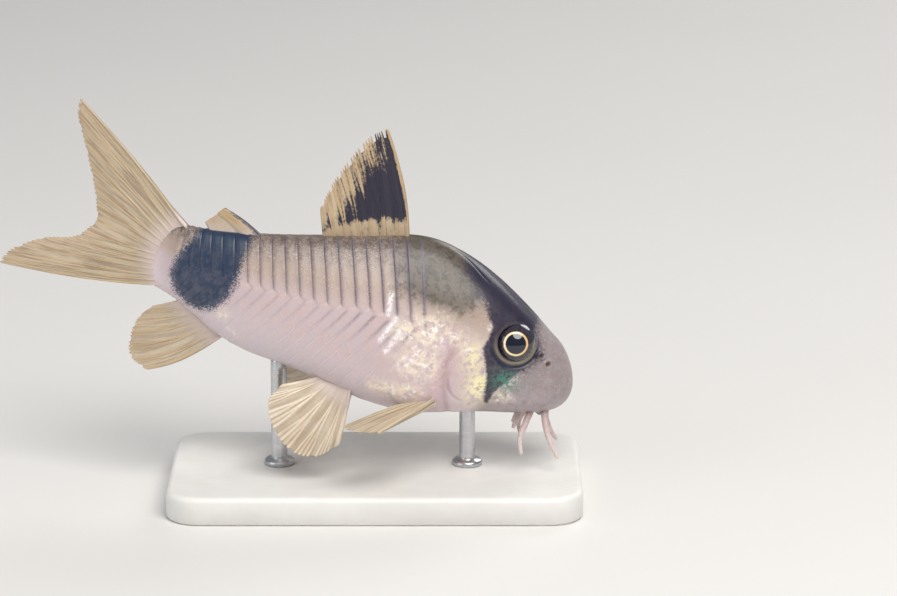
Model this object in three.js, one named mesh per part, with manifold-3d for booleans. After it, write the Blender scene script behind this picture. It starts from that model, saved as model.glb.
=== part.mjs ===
// Corydoras catfish, a still life-size model held nose down over a plain display base.
// Millimetres, +Z up, the head towards +X. The origin is the centre of the base's foot.
import * as THREE from "three";
import { mergeVertices } from "three/addons/utils/BufferGeometryUtils.js";
import Module from "manifold-3d";

const wasm = await Module();
wasm.setup();

// Driving sizes of the fish
const BODY_LENGTH = 38; // snout to the hinge of the tail fin
const GAP = 0.3; // between neighbouring pieces
const SIDES = 32; // facets round the body
const PITCH = THREE.MathUtils.degToRad(16.5); // nose down
const SNOUT_X = 17.3;
const SNOUT_Z = 9.8;
const SNOUT_LEVEL = -0.6;
const SNOUT_ROUND = 2.6; // length over which the snout rounds off
const HEAD_END = 11.8;

// The tail sweeps to the fish's left and lifts a little
const SWEEP = THREE.MathUtils.degToRad(19);
const SWEEP_FROM = 19;
const SWEEP_TO = 42;
const LIFT = THREE.MathUtils.degToRad(8);
const LIFT_FROM = 33;
const LIFT_TO = 42;

// Body plates
const PLATE_COUNT = 20;
const TORSO_PLATES = 13; // the others are the tail stock's
const PLATE_GROWTH = 0.1; // how much broader the plates grow towards the head
const PLATES_FROM = 14.2;
const PLATES_TO = 36.9;
const PLATE_RISE = 0.22;
const PLATE_STEP = 0.14; // run of the small cliff behind each plate
const LEAN_TOP = Math.tan(THREE.MathUtils.degToRad(19));
const LEAN_BELLY = Math.tan(THREE.MathUtils.degToRad(27));

// Distance from the snout to the front edge of a plate, counted from the head
function plateFront(plate) {
  const even = 1 - PLATE_GROWTH;
  const share = (Math.sqrt(even ** 2 + (4 * PLATE_GROWTH * plate) / PLATE_COUNT) - even) / (2 * PLATE_GROWTH);
  return PLATES_FROM + (PLATES_TO - PLATES_FROM) * share;
}

// Profiles along the body, as [distance from the snout, value]
const BACK = [[0, 2.3], [1.6, 3.05], [2.7, 3.6], [4.9, 5.0], [8.9, 7.3], [12, 8.55], [15.3, 9.15],
  [17.2, 8.95], [20.8, 7.85], [24, 6.9], [29, 5.4], [33.4, 4.25], [36, 3.75], [38.5, 3.5]];
const BELLY = [[0, -3.0], [1.6, -2.95], [4.8, -3.75], [7.6, -4.35], [10.5, -5.1], [13.5, -5.9],
  [17.5, -6.1], [20.5, -5.7], [24, -5.35], [28.4, -5.2], [31.5, -4.5], [33.6, -3.6], [35.7, -2.85],
  [38.5, -2.5]];
const HALF_WIDTH = [[0, 2.4], [1.6, 2.85], [4, 3.55], [7, 4.15], [10, 4.85], [13, 5.15], [17, 4.85],
  [21, 4.15], [26, 3.15], [31, 2.15], [35, 1.5], [38.5, 1.05]];
// The height at which the two rows of plates meet
const MEET_LEVEL = [[12, 2.2], [19, 2.4], [22, 1.8], [28, 1.2], [33, 0.7], [38.5, 0.45]];
const WIDE_LEVEL = [[0, -0.7], [3, -0.9], [6, -0.9], [9.5, -1.7], [13.5, -2.3], [20, -1.1], [28, 0],
  [38.5, 0.45]];
// Superellipse powers of the section above and below its widest level
const BACK_SHAPE = [[0, 2.1], [2.5, 2.4], [5.5, 2.9], [8, 2.5], [12, 2.0], [16, 1.75], [26, 1.85],
  [38.5, 2]];
const BELLY_SHAPE = [[0, 2.1], [5, 2.5], [12, 3], [20, 2.7], [28, 2.1], [38.5, 2]];

const mix = THREE.MathUtils.lerp;
const clamp = THREE.MathUtils.clamp;
const smooth = THREE.MathUtils.smoothstep;
const vec = (x, y, z) => new THREE.Vector3(x, y, z);

// A smooth value through a profile's points, with no overshoot at a peak
function along(profile, s) {
  const last = profile.length - 1;
  if (s <= profile[0][0]) return profile[0][1];
  if (s >= profile[last][0]) return profile[last][1];
  let i = 0;
  while (s > profile[i + 1][0]) i += 1;
  const slope = (a) => {
    if (a < 0 || a >= last) return null;
    return (profile[a + 1][1] - profile[a][1]) / (profile[a + 1][0] - profile[a][0]);
  };
  const tangent = (a) => {
    const [before, after] = [slope(a - 1), slope(a)];
    if (before === null) return after;
    if (after === null) return before;
    return before * after <= 0 ? 0 : (before + after) / 2;
  };
  const run = profile[i + 1][0] - profile[i][0];
  const t = (s - profile[i][0]) / run;
  const t2 = t * t;
  const t3 = t2 * t;
  return (2 * t3 - 3 * t2 + 1) * profile[i][1] + (t3 - 2 * t2 + t) * run * tangent(i) +
    (3 * t2 - 2 * t3) * profile[i + 1][1] + (t3 - t2) * run * tangent(i + 1);
}

// The backbone, stepped off once: at each distance its place and the directions tailward, left and up
const SPINE_STEP = 0.25;
const spine = [];
{
  let [t, y, h] = [0, 0, 0];
  for (let s = 0; s <= 60; s += SPINE_STEP) {
    const yaw = SWEEP * smooth(s, SWEEP_FROM, SWEEP_TO);
    const lift = LIFT * smooth(s, LIFT_FROM, LIFT_TO);
    const tail = vec(Math.cos(lift) * Math.cos(yaw), Math.cos(lift) * Math.sin(yaw), Math.sin(lift));
    const left = vec(-Math.sin(yaw), Math.cos(yaw), 0);
    const up = vec(-Math.sin(lift) * Math.cos(yaw), -Math.sin(lift) * Math.sin(yaw), Math.cos(lift));
    spine.push({ at: vec(t, y, h), tail, left, up });
    t += tail.x * SPINE_STEP;
    y += tail.y * SPINE_STEP;
    h += tail.z * SPINE_STEP;
  }
}

// Body place (distance from the snout, to the left, upwards) to model place
function place(s, y, h) {
  const i = clamp(Math.floor(s / SPINE_STEP), 0, spine.length - 2);
  const t = s / SPINE_STEP - i;
  const point = spine[i].at.clone().lerp(spine[i + 1].at, t);
  if (s < 0) point.set(s, 0, 0);
  const left = spine[i].left.clone().lerp(spine[i + 1].left, clamp(t, 0, 1));
  const up = spine[i].up.clone().lerp(spine[i + 1].up, clamp(t, 0, 1));
  point.addScaledVector(left, y).addScaledVector(up, h);
  return vec(
    SNOUT_X - point.x * Math.cos(PITCH) + point.z * Math.sin(PITCH),
    point.y,
    SNOUT_Z + point.x * Math.sin(PITCH) + point.z * Math.cos(PITCH),
  );
}

// Height and half width of the body at a distance from the snout
function section(s) {
  const tight = clamp(1 - s / SNOUT_ROUND, 0, 1);
  const rounding = Math.sqrt(1 - tight * tight);
  const fit = (level) => SNOUT_LEVEL + (level - SNOUT_LEVEL) * rounding;
  return {
    top: fit(along(BACK, s)),
    bottom: fit(along(BELLY, s)),
    level: fit(along(WIDE_LEVEL, s)),
    width: along(HALF_WIDTH, s) * rounding,
    powerUp: along(BACK_SHAPE, s),
    powerDown: along(BELLY_SHAPE, s),
  };
}

// Left-hand distance and height on the body's skin, raised by a height above the skin.
// The angle is 0 at the left flank and 90 degrees on the back.
function skin(s, angle, raised = 0) {
  const size = section(s);
  const [c, u] = [Math.cos(angle), Math.sin(angle)];
  const power = u >= 0 ? size.powerUp : size.powerDown;
  const half = u >= 0 ? size.top - size.level : size.level - size.bottom;
  const across = Math.sign(c) * Math.abs(c) ** (2 / power);
  const above = Math.sign(u) * Math.abs(u) ** (2 / power);
  const out = new THREE.Vector2(
    (Math.sign(across) * Math.abs(across) ** (power - 1)) / Math.max(size.width, 0.2),
    (Math.sign(above) * Math.abs(above) ** (power - 1)) / Math.max(half, 0.2),
  ).normalize();
  return [across * size.width + out.x * raised, size.level + above * half + out.y * raised];
}

function onSkin(s, angle, raised = 0) {
  const [y, h] = skin(s, angle, raised);
  return place(s, y, h);
}

// The angle at which the left flank reaches a height
function angleAt(s, height) {
  const size = section(s);
  const power = height >= size.level ? size.powerUp : size.powerDown;
  const half = height >= size.level ? size.top - size.level : size.level - size.bottom;
  const share = clamp(Math.abs(height - size.level) / half, 0, 1) ** (power / 2);
  return Math.asin(share) * Math.sign(height - size.level);
}

// Solids and meshes
function solidFrom(points, triangles) {
  let volume = 0;
  for (const [a, b, c] of triangles) {
    volume += points[a].dot(points[b].clone().cross(points[c]));
  }
  const facing = volume < 0 ? triangles.map(([a, b, c]) => [a, c, b]) : triangles;
  return new wasm.Manifold(new wasm.Mesh({
    numProp: 3,
    vertProperties: new Float32Array(points.flatMap((p) => [p.x, p.y, p.z])),
    triVerts: new Uint32Array(facing.flat()),
  }));
}

function solidOf(geometry) {
  const bare = geometry.clone();
  bare.deleteAttribute("normal");
  bare.deleteAttribute("uv");
  const merged = mergeVertices(bare, 1e-4);
  const position = merged.attributes.position;
  const points = [];
  for (let i = 0; i < position.count; i += 1) points.push(vec().fromBufferAttribute(position, i));
  const triangles = [];
  for (let i = 0; i < merged.index.count; i += 3) {
    triangles.push([0, 1, 2].map((k) => merged.index.getX(i + k)));
  }
  return solidFrom(points, triangles);
}

const join = (solids) => solids.reduce((whole, one) => whole.add(one));
const cut = (solid, tools) => tools.reduce((left, tool) => left.subtract(tool), solid);

function largest(solid) {
  return solid.decompose().sort((a, b) => b.volume() - a.volume())[0];
}

// A closed skin over rings of points; each end closes on a point
function loft(rings, startPoint, endPoint) {
  const count = rings[0].length;
  const points = [startPoint, ...rings.flat(), endPoint];
  const at = (ring, k) => 1 + ring * count + (k % count);
  const triangles = [];
  for (let k = 0; k < count; k += 1) {
    triangles.push([0, at(0, k + 1), at(0, k)]);
    triangles.push([points.length - 1, at(rings.length - 1, k), at(rings.length - 1, k + 1)]);
    for (let r = 0; r < rings.length - 1; r += 1) {
      triangles.push([at(r, k), at(r, k + 1), at(r + 1, k)]);
      triangles.push([at(r, k + 1), at(r + 1, k + 1), at(r + 1, k)]);
    }
  }
  return solidFrom(points, triangles);
}

function tube(curve, radiusAt, steps, sides) {
  const frames = curve.computeFrenetFrames(steps, false);
  const rings = [];
  for (let i = 0; i <= steps; i += 1) {
    const centre = curve.getPoint(i / steps);
    const radius = radiusAt(i / steps);
    rings.push(Array.from({ length: sides }, (_, k) => {
      const turn = (2 * Math.PI * k) / sides;
      return centre.clone()
        .addScaledVector(frames.normals[i], radius * Math.cos(turn))
        .addScaledVector(frames.binormals[i], radius * Math.sin(turn));
    }));
  }
  const tip = curve.getPoint(1).addScaledVector(frames.tangents[steps], radiusAt(1) * 0.6);
  return loft(rings, curve.getPoint(0), tip);
}

function ball(centre, radii, turns = 20) {
  const geometry = new THREE.SphereGeometry(1, turns, Math.round(turns * 0.6));
  geometry.scale(radii.x, radii.y, radii.z).translate(centre.x, centre.y, centre.z);
  return solidOf(geometry);
}

// Rings round the trunk lean like the plates: furthest forward where the two rows meet.
// The first one, behind the gills, bows the other way.
function ringPoint(s, angle, raised) {
  const [, height] = skin(s, angle);
  const above = height - along(MEET_LEVEL, s);
  const tilt = above >= 0 ? LEAN_TOP * above : -LEAN_BELLY * above;
  const bow = mix(above >= 0 ? -0.75 : -0.3, 1, smooth(s, HEAD_END, PLATES_FROM));
  const lean = bow * (1 - 0.9 * smooth(s, PLATES_TO - 4, PLATES_TO + 0.5));
  return onSkin(clamp(s + lean * tilt, 0, BODY_LENGTH + 0.3), angle, raised);
}

// How far a plate is raised at an angle: nothing where the rows meet, on the back's ridge or the bare belly
const MEETING_BAND = 0.5;
function plateShare(s, angle) {
  const [, height] = skin(s, angle);
  if (Math.abs(height - along(MEET_LEVEL, s)) < MEETING_BAND || Math.sin(angle) > 0.999) return 0;
  const bareBelly = 1 - smooth(s, 27, 29.5);
  return Math.sin(angle) > mix(-0.995, -0.86, bareBelly) ? 1 : 0;
}

const angles = Array.from({ length: SIDES }, (_, k) => (2 * Math.PI * k) / SIDES);
const ringAt = (s, raised = 0) => angles.map((angle) => ringPoint(s, angle, raised * plateShare(s, angle)));
const headRing = (s, raised = 0) => angles.map((angle) => onSkin(s, angle, raised));

// Stations of the plates, front edge low and rear edge raised
function plateStations(from, to) {
  const stations = [];
  for (let i = 0; i < PLATE_COUNT; i += 1) {
    stations.push([plateFront(i), 0], [plateFront(i + 1) - PLATE_STEP, PLATE_RISE]);
  }
  return stations.filter(([s]) => s > from && s < to);
}

const centreAt = (s) => place(s, 0, (section(s).top + section(s).bottom) / 2);

// The whole body, swollen, to cut what grows from it
function bodyTool(swell) {
  const steps = [0.12, 0.5, 1.1, 1.9, 2.8, 4, 5.5, 7, 8.5, 10, 11.5];
  for (let s = 13; s < BODY_LENGTH; s += 1.5) steps.push(s);
  steps.push(BODY_LENGTH);
  const rings = steps.map((s) => headRing(s, swell));
  return loft(rings, place(-swell, 0, SNOUT_LEVEL), place(BODY_LENGTH + 0.4 + swell, 0, 0.5));
}

const clearOfBody = bodyTool(GAP + PLATE_RISE * 0.7);

// A patch of the flank, round or oval, with an outer face raised above the skin and an inner face below it.
// The side is 1 on the left and -1 on the right.
function flankPatch({ side, s, height, reach, outline, outer, inner, rings = 3, turns = 24, grow = 0 }) {
  const patchPoint = (share, turn, raised) => {
    const radius = (outline(turn) * reach + grow) * share;
    const [ds, dh] = [Math.cos(turn) * radius, Math.sin(turn) * radius];
    const angle = angleAt(s + ds, height + dh);
    return onSkin(s + ds, side > 0 ? angle : Math.PI - angle, raised);
  };
  const points = [patchPoint(0, 0, outer(0)), patchPoint(0, 0, inner)];
  const grid = [outer, () => inner].map((face) => {
    const rows = [];
    for (let r = 1; r <= rings; r += 1) {
      const row = [];
      for (let k = 0; k < turns; k += 1) {
        row.push(points.length);
        points.push(patchPoint(r / rings, (2 * Math.PI * k) / turns, face(r / rings)));
      }
      rows.push(row);
    }
    return rows;
  });
  const triangles = [];
  for (let k = 0; k < turns; k += 1) {
    const next = (k + 1) % turns;
    grid.forEach((rows, face) => {
      const put = (a, b, c) => triangles.push(face === 0 ? [a, b, c] : [a, c, b]);
      put(face, rows[0][k], rows[0][next]);
      for (let r = 0; r < rings - 1; r += 1) {
        put(rows[r][k], rows[r + 1][k], rows[r + 1][next]);
        put(rows[r][k], rows[r + 1][next], rows[r][next]);
      }
    });
    const [outerRim, innerRim] = [grid[0][rings - 1], grid[1][rings - 1]];
    triangles.push([outerRim[k], innerRim[k], outerRim[next]]);
    triangles.push([outerRim[next], innerRim[k], innerRim[next]]);
  }
  return solidFrom(points, triangles);
}

// Eyes
const EYE = { s: 6.22, height: 2.85, radius: 1.85, sunk: 1.1, flat: 0.94 };
const eyeCentre = (side) => {
  const [y] = skin(EYE.s, angleAt(EYE.s, EYE.height));
  return place(EYE.s, side * (y - EYE.sunk), EYE.height);
};
function eyeball(side, grow) {
  const r = EYE.radius + grow;
  return ball(eyeCentre(side), vec(r, r * EYE.flat, r), 16);
}

// A ring of skin round the eye
const RIM = 0.27;
function orbitRim(side) {
  const turns = 20;
  const rim = [];
  for (let k = 0; k < turns; k += 1) {
    const turn = (2 * Math.PI * k) / turns;
    const [ds, dh] = [Math.cos(turn), Math.sin(turn)].map((x) => x * (EYE.radius + 0.3));
    const angle = angleAt(EYE.s + ds, EYE.height + dh);
    rim.push(onSkin(EYE.s + ds, side > 0 ? angle : Math.PI - angle, 0.02));
  }
  const line = new THREE.CatmullRomCurve3(rim, true);
  const steps = 20;
  const frames = line.computeFrenetFrames(steps, true);
  const points = [];
  const triangles = [];
  const sides = 6;
  for (let i = 0; i < steps; i += 1) {
    for (let k = 0; k < sides; k += 1) {
      const turn = (2 * Math.PI * k) / sides;
      points.push(line.getPoint(i / steps)
        .addScaledVector(frames.normals[i], RIM * Math.cos(turn))
        .addScaledVector(frames.binormals[i], RIM * Math.sin(turn)));
      const a = i * sides + k;
      const b = i * sides + ((k + 1) % sides);
      const c = ((i + 1) % steps) * sides + k;
      const d = ((i + 1) % steps) * sides + ((k + 1) % sides);
      triangles.push([a, b, c], [b, d, c]);
    }
  }
  return solidFrom(points, triangles);
}

// Gill covers, set in a shallow pocket of the head
const GILL = { s: 9.15, height: -0.5, reach: 1.85, thick: 0.55, rise: 0.26 };
const gillOutline = (turn) => 1 + 0.06 * Math.cos(turn) + 0.3 * Math.abs(Math.sin(turn)) ** 1.5;
function gillCover(side) {
  return flankPatch({
    side, s: GILL.s, height: GILL.height, reach: GILL.reach, outline: gillOutline,
    outer: (r) => GILL.rise * (1 - 0.35 * r ** 4), inner: -GILL.thick,
  });
}
function gillPocket(side) {
  return flankPatch({
    side, s: GILL.s, height: GILL.height, reach: GILL.reach, outline: gillOutline,
    outer: () => 1.2, inner: -GILL.thick - GAP, grow: GAP,
  });
}

// Mouth and nostrils
const MOUTH = { s: 2.55, half: 1.35, lip: 0.48, apart: 0.65 };
function lip(shiftBack, bow, radius) {
  const path = [-1, -0.5, 0, 0.5, 1].map((share) => {
    const s = MOUTH.s + shiftBack + bow * (share * share - 0.5);
    const [, floor] = skin(s, -Math.PI / 2);
    return place(s, share * MOUTH.half, floor + 0.05);
  });
  const curve = new THREE.CatmullRomCurve3(path);
  return tube(curve, (t) => radius * (0.6 + 0.4 * Math.sin(Math.PI * t)), 10, 8);
}
const NOSTRILS = [
  { s: 2.95, height: 1.85, rim: 0.42, hole: 0.2 },
  { s: 3.75, height: 2.45, rim: 0.38, hole: 0.2 },
];
function nostril(side, { s, height }, radius, from, to) {
  const angle = side > 0 ? angleAt(s, height) : Math.PI - angleAt(s, height);
  const line = new THREE.LineCurve3(onSkin(s, angle, from), onSkin(s, angle, to));
  return tube(line, () => radius, 1, 8);
}

function headSolid() {
  const stations = [0.06, 0.22, 0.5, 0.9, 1.4, 2, 2.8, 3.7, 4.6, 5.5, 6.4, 7.4, 8.4, 9.4, 10.3];
  const rings = stations.map((s) => headRing(s));
  rings.push(headRing(11.0), ringAt(HEAD_END - GAP / 2));
  let head = loft(rings, place(0, 0, SNOUT_LEVEL), centreAt(HEAD_END + 0.1));
  const sides = [1, -1];
  const added = [lip(-0.45, 0.75, MOUTH.lip), lip(MOUTH.apart, -0.35, MOUTH.lip * 0.85)];
  sides.forEach((side) => {
    added.push(orbitRim(side));
    NOSTRILS.forEach((one) => added.push(nostril(side, one, one.rim, -0.5, 0.22)));
  });
  head = join([head, ...added]);
  const removed = [];
  sides.forEach((side) => {
    removed.push(eyeball(side, GAP), gillPocket(side));
    NOSTRILS.forEach((one) => removed.push(nostril(side, one, one.hole, -0.5, 0.6)));
  });
  return largest(cut(head, removed));
}

// Torso and tail stock
function trunk(from, to, endPoint) {
  const rings = [ringAt(from)];
  plateStations(from + 0.05, to - 0.05).forEach(([s, raised]) => rings.push(ringAt(s, raised)));
  rings.push(ringAt(to));
  return loft(rings, centreAt(from + 0.1), endPoint ?? centreAt(to + 0.1));
}
const SEAM = plateFront(TORSO_PLATES) - PLATE_STEP / 2;

// The broad plate of the shoulder, behind each gill cover
const SHOULDER = { s: 13.9, height: -2.4, reach: 1.9, rise: 0.36, sunk: 0.5 };
const shoulderOutline = (turn) => 1 + 0.1 * Math.cos(2 * turn) - 0.12 * Math.sin(turn);
function shoulderPlate(side) {
  return flankPatch({
    side, s: SHOULDER.s, height: SHOULDER.height, reach: SHOULDER.reach, outline: shoulderOutline,
    outer: (r) => SHOULDER.rise * (1 - 0.25 * r ** 4), inner: -SHOULDER.sunk, rings: 2, turns: 20,
  });
}
const torsoSolid = () => largest(join([
  trunk(HEAD_END + GAP / 2, SEAM - GAP / 2), shoulderPlate(1), shoulderPlate(-1),
]));

// A fin: a thin sheet from its base line to its outer edge, with a ridge along each ray.
// base and edge give a body place for a share 0 to 1 across the fin; bow bends a ray part way out.
// The half thickness is web between the rays, crest on a ray and first on the leading ray.
const PLAIN_FIN = { bow: () => [0, 0, 0], web: 0.26, crest: 0.42, first: 0.42, rows: 5, notch: 0.05 };
function fin(shape) {
  const { base, edge, rays, bow, web, crest, first, rows, notch } = { ...PLAIN_FIN, ...shape };
  const columns = [];
  const spacing = 1 / (rays - 1);
  const foot = 0.2 * spacing;
  for (let k = 0; k < rays; k += 1) {
    const t = k * spacing;
    const thick = k === 0 ? first : crest;
    if (k > 0) columns.push({ t: t - foot, half: web, reach: 1 - notch * 0.4 });
    columns.push({ t, half: thick, reach: 1 });
    if (k < rays - 1) {
      columns.push({ t: t + foot, half: web, reach: 1 - notch * 0.4 });
      columns.push({ t: t + spacing / 2, half: web, reach: 1 - notch });
    }
  }
  const middle = (column, out) => {
    const [a, b, c] = [base(column.t), edge(column.t), bow(column.t, out)];
    return place(mix(a[0], b[0], out) + c[0], mix(a[1], b[1], out) + c[1], mix(a[2], b[2], out) + c[2]);
  };
  const points = [];
  const index = columns.map((column, i) => {
    const beside = columns[i === 0 ? 1 : i - 1];
    return Array.from({ length: rows + 1 }, (_, j) => {
      const out = (j / rows) * column.reach;
      const here = middle(column, out);
      const outward = middle(column, out + 0.05).sub(here);
      const sideways = middle(beside, out).sub(here).multiplyScalar(i === 0 ? 1 : -1);
      const normal = outward.cross(sideways).normalize();
      const half = mix(column.half, 0.17, (j / rows) ** 1.6);
      points.push(here.clone().addScaledVector(normal, half), here.clone().addScaledVector(normal, -half));
      return points.length - 2;
    });
  });
  const triangles = [];
  const last = columns.length - 1;
  for (let i = 0; i < last; i += 1) {
    for (let j = 0; j < rows; j += 1) {
      const [a, b, c, d] = [index[i][j], index[i + 1][j], index[i + 1][j + 1], index[i][j + 1]];
      triangles.push([a, b, c], [a, c, d]);
      triangles.push([a + 1, c + 1, b + 1], [a + 1, d + 1, c + 1]);
    }
    triangles.push([index[i][0], index[i][0] + 1, index[i + 1][0]]);
    triangles.push([index[i + 1][0], index[i][0] + 1, index[i + 1][0] + 1]);
    triangles.push([index[i][rows], index[i + 1][rows], index[i][rows] + 1]);
    triangles.push([index[i + 1][rows], index[i + 1][rows] + 1, index[i][rows] + 1]);
  }
  for (let j = 0; j < rows; j += 1) {
    const [a, d, e, f] = [index[0][j], index[0][j + 1], index[last][j], index[last][j + 1]];
    triangles.push([a, d, a + 1], [d, d + 1, a + 1]);
    triangles.push([e, e + 1, f], [f, e + 1, f + 1]);
  }
  return solidFrom(points, triangles);
}
const grown = (solid) => largest(solid.subtract(clearOfBody));

// A place on a smooth line through a few places, for a share 0 to 1
function through(places) {
  const curve = new THREE.CatmullRomCurve3(places.map(([s, y, h]) => vec(s, y, h)), false, "centripetal");
  return (t) => curve.getPoint(clamp(t, 0, 1)).toArray();
}

const dorsalFin = () => grown(fin({
  rays: 8, first: 0.55, rows: 6, notch: 0.06,
  base: (t) => [mix(17.1, 24.3, t), 0, mix(7.6, 5.6, t)],
  edge: through([[21.9, 0, 17.4], [23.2, 0.05, 16.2], [24.4, 0.15, 13.6], [25.2, 0.2, 11.2],
    [25.6, 0.1, 8.8]]),
  bow: (t, out) => [-0.55 * Math.sin(Math.PI * out) * (1 - t), 0.35 * out * out * Math.sin(Math.PI * t), 0],
}));

const adiposeFin = () => grown(fin({
  rays: 2, first: 0.5, crest: 0.22, web: 0.26, rows: 4, notch: 0,
  base: (t) => [mix(28.6, 33.6, t), 0, mix(4.4, 3.2, t)],
  edge: (t) => [mix(33.6, 35.0, t), 0, mix(6.35, 4.5, t)],
  bow: (t, out) => [0, 0, 0.28 * Math.sin(Math.PI * out) * (1 - t)],
}));

const analFin = () => grown(fin({
  rays: 7, first: 0.45, rows: 5,
  base: (t) => [mix(30.2, 34.4, t), 0, mix(-4.3, -2.4, t)],
  edge: through([[35.9, 0, -9.9], [37.4, 0, -9.3], [38.0, 0.1, -7.2], [37.8, 0.1, -5.6], [37.0, 0, -4.2]]),
  bow: (t, out) => [0, -0.25 * out * out, -0.5 * Math.sin(Math.PI * out) * (1 - t)],
}));

// The tail fin's two lobes, each a fan of rays from the end of the tail stock
const LOBE = { root: 36.3, end: 37.7, middle: 0.55, up: 3.0, down: 2.5, fork: 0.1 };
function tailLobe(side) {
  const reach = side > 0 ? LOBE.up : LOBE.down;
  const tip = side > 0 ? [50.6, 0, 9.2] : [51.5, 0, -7.8];
  const shoulder = side > 0 ? [48.2, 0, 5.2] : [48.9, 0, -3.9];
  const fork = [44.7, 0, LOBE.fork + 0.18 * side];
  const blunt = [tip[0] - 0.15, 0, tip[2] - 1.1 * side];
  const waist = [46.0, 0, LOBE.fork + 2.2 * side];
  return grown(fin({
    rays: 8, first: 0.5, rows: 6, notch: 0.04,
    base: (t) => [mix(LOBE.root, LOBE.end, Math.sin((t * Math.PI) / 2)), 0,
      LOBE.middle + side * mix(reach, 0.2, t)],
    edge: through([tip, blunt, shoulder, waist, fork]),
    bow: (t, out) => [0, 0.6 * out * out, side * 0.35 * Math.sin(Math.PI * out) * (1 - t)],
  }));
}

// Paired fins are written for the left side and mirrored
const mirrored = (side, curve) => (t) => {
  const [s, y, h] = curve(t);
  return [s, y * side, h];
};
function pelvicFin(side) {
  return grown(fin({
    rays: 7, rows: 5, first: 0.45, notch: 0.04,
    base: mirrored(side, (t) => [mix(18.6, 20.7, t), mix(2.9, 1.6, t), mix(-4.4, -4.6, t)]),
    edge: mirrored(side, through([[18.3, 4.6, -9.6], [19.9, 5.2, -11.1], [22.0, 5.4, -11.3],
      [24.0, 5.1, -9.9], [25.1, 4.2, -7.9], [24.4, 3.2, -6.3]])),
    bow: (t, out) => [0, side * 0.35 * Math.sin(Math.PI * out), -0.3 * Math.sin(Math.PI * out) * (1 - t)],
  }));
}
function pectoralFin(side) {
  return grown(fin({
    rays: 8, rows: 5, first: 0.6, notch: 0.04,
    base: mirrored(side, (t) => [mix(10.9, 12.6, t), mix(3.7, 3.3, t), mix(-3.3, -4.3, t)]),
    edge: mirrored(side, through([[15.6, 10.3, -6.0], [17.4, 10.2, -6.5], [18.6, 8.9, -6.9],
      [18.3, 7.2, -7.0], [17.0, 5.9, -6.9]])),
    bow: (t, out) => [-0.45 * Math.sin(Math.PI * out) * (1 - t), 0, 0.4 * Math.sin(Math.PI * out)],
  }));
}

// Barbels: a tapering feeler along a smooth line from the mouth
const BARBELS = {
  upper: {
    root: 0.46, tip: 0.24,
    path: [[2.0, 0.9, -2.0], [1.5, 1.9, -3.6], [0.7, 2.5, -4.9], [-0.4, 2.8, -6.1]],
  },
  lower: {
    root: 0.43, tip: 0.24,
    path: [[2.9, 1.0, -2.1], [3.2, 2.1, -4.1], [3.3, 2.7, -5.4], [2.8, 3.1, -6.6]],
  },
  chin: {
    root: 0.38, tip: 0.25,
    path: [[3.6, 0.5, -2.3], [3.9, 0.75, -4.1], [4.0, 0.95, -5.1]],
  },
};
function barbel(side, { path, root, tip }) {
  const curve = new THREE.CatmullRomCurve3(path.map(([s, y, h]) => place(s, side * y, h)));
  return tube(curve, (t) => mix(root, tip, t), path.length > 3 ? 10 : 6, 8);
}

// Display stand
const BASE = { long: 36, wide: 20, thick: 2.5, corner: 3, chamfer: 0.5 };
const ROD_RADIUS = 0.7;
const RODS = { stand_rod_front: 8.6, stand_rod_rear: 25.6 };
function baseSolid() {
  const { corner, chamfer } = BASE;
  const x = BASE.long / 2 - chamfer - corner;
  const y = BASE.wide / 2 - chamfer - corner;
  const shape = new THREE.Shape();
  [[x, y], [-x, y], [-x, -y], [x, -y]].forEach(([atX, atY], quarter) => {
    shape.absarc(atX, atY, corner, (quarter * Math.PI) / 2, ((quarter + 1) * Math.PI) / 2, false);
  });
  const plate = new THREE.ExtrudeGeometry(shape, {
    depth: BASE.thick - chamfer,
    bevelEnabled: true,
    bevelThickness: chamfer,
    bevelSize: chamfer,
    bevelSegments: 1,
    curveSegments: 6,
  });
  const slab = solidOf(plate);
  const below = new THREE.BoxGeometry(2 * BASE.long, 2 * BASE.wide, 4 * chamfer);
  below.translate(0, 0, -2 * chamfer);
  return slab.subtract(solidOf(below));
}
function rodSolid(s) {
  const foot = place(s, 0, along(BELLY, s) + 1);
  const height = foot.z - BASE.thick;
  const rod = new THREE.CylinderGeometry(ROD_RADIUS, ROD_RADIUS, height, 16);
  rod.rotateX(Math.PI / 2).translate(foot.x, foot.y, BASE.thick + height / 2);
  return grown(solidOf(rod));
}

// Materials
function finish(color, roughness, metalness = 0) {
  return new THREE.MeshStandardMaterial({ color, roughness, metalness });
}
const SKIN = finish(0xc9b3a6, 0.38);
const DARK_SKIN = finish(0x3a3a48, 0.4);
const GOLD_SKIN = finish(0xd8c08a, 0.3);
const FIN = finish(0xd6bd8e, 0.35);
const DARK_FIN = finish(0x4c4842, 0.4);
const FEELER = finish(0xd2bfb4, 0.4);
const EYE_GLASS = finish(0x15161c, 0.08);
const STAND = finish(0xe9e6df, 0.5);
const ROD = finish(0xa8abb0, 0.25, 0.9);

const fish = new THREE.Group();
function add(name, solid, material) {
  const { numProp, vertProperties, triVerts } = solid.getMesh();
  const position = new Float32Array((vertProperties.length / numProp) * 3);
  for (let i = 0; i < position.length / 3; i += 1) {
    position.set(vertProperties.subarray(i * numProp, i * numProp + 3), i * 3);
  }
  const geometry = new THREE.BufferGeometry();
  geometry.setAttribute("position", new THREE.BufferAttribute(position, 3));
  geometry.setIndex(new THREE.BufferAttribute(triVerts, 1));
  geometry.computeVertexNormals();
  const mesh = new THREE.Mesh(geometry, material);
  mesh.name = name;
  fish.add(mesh);
}

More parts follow.
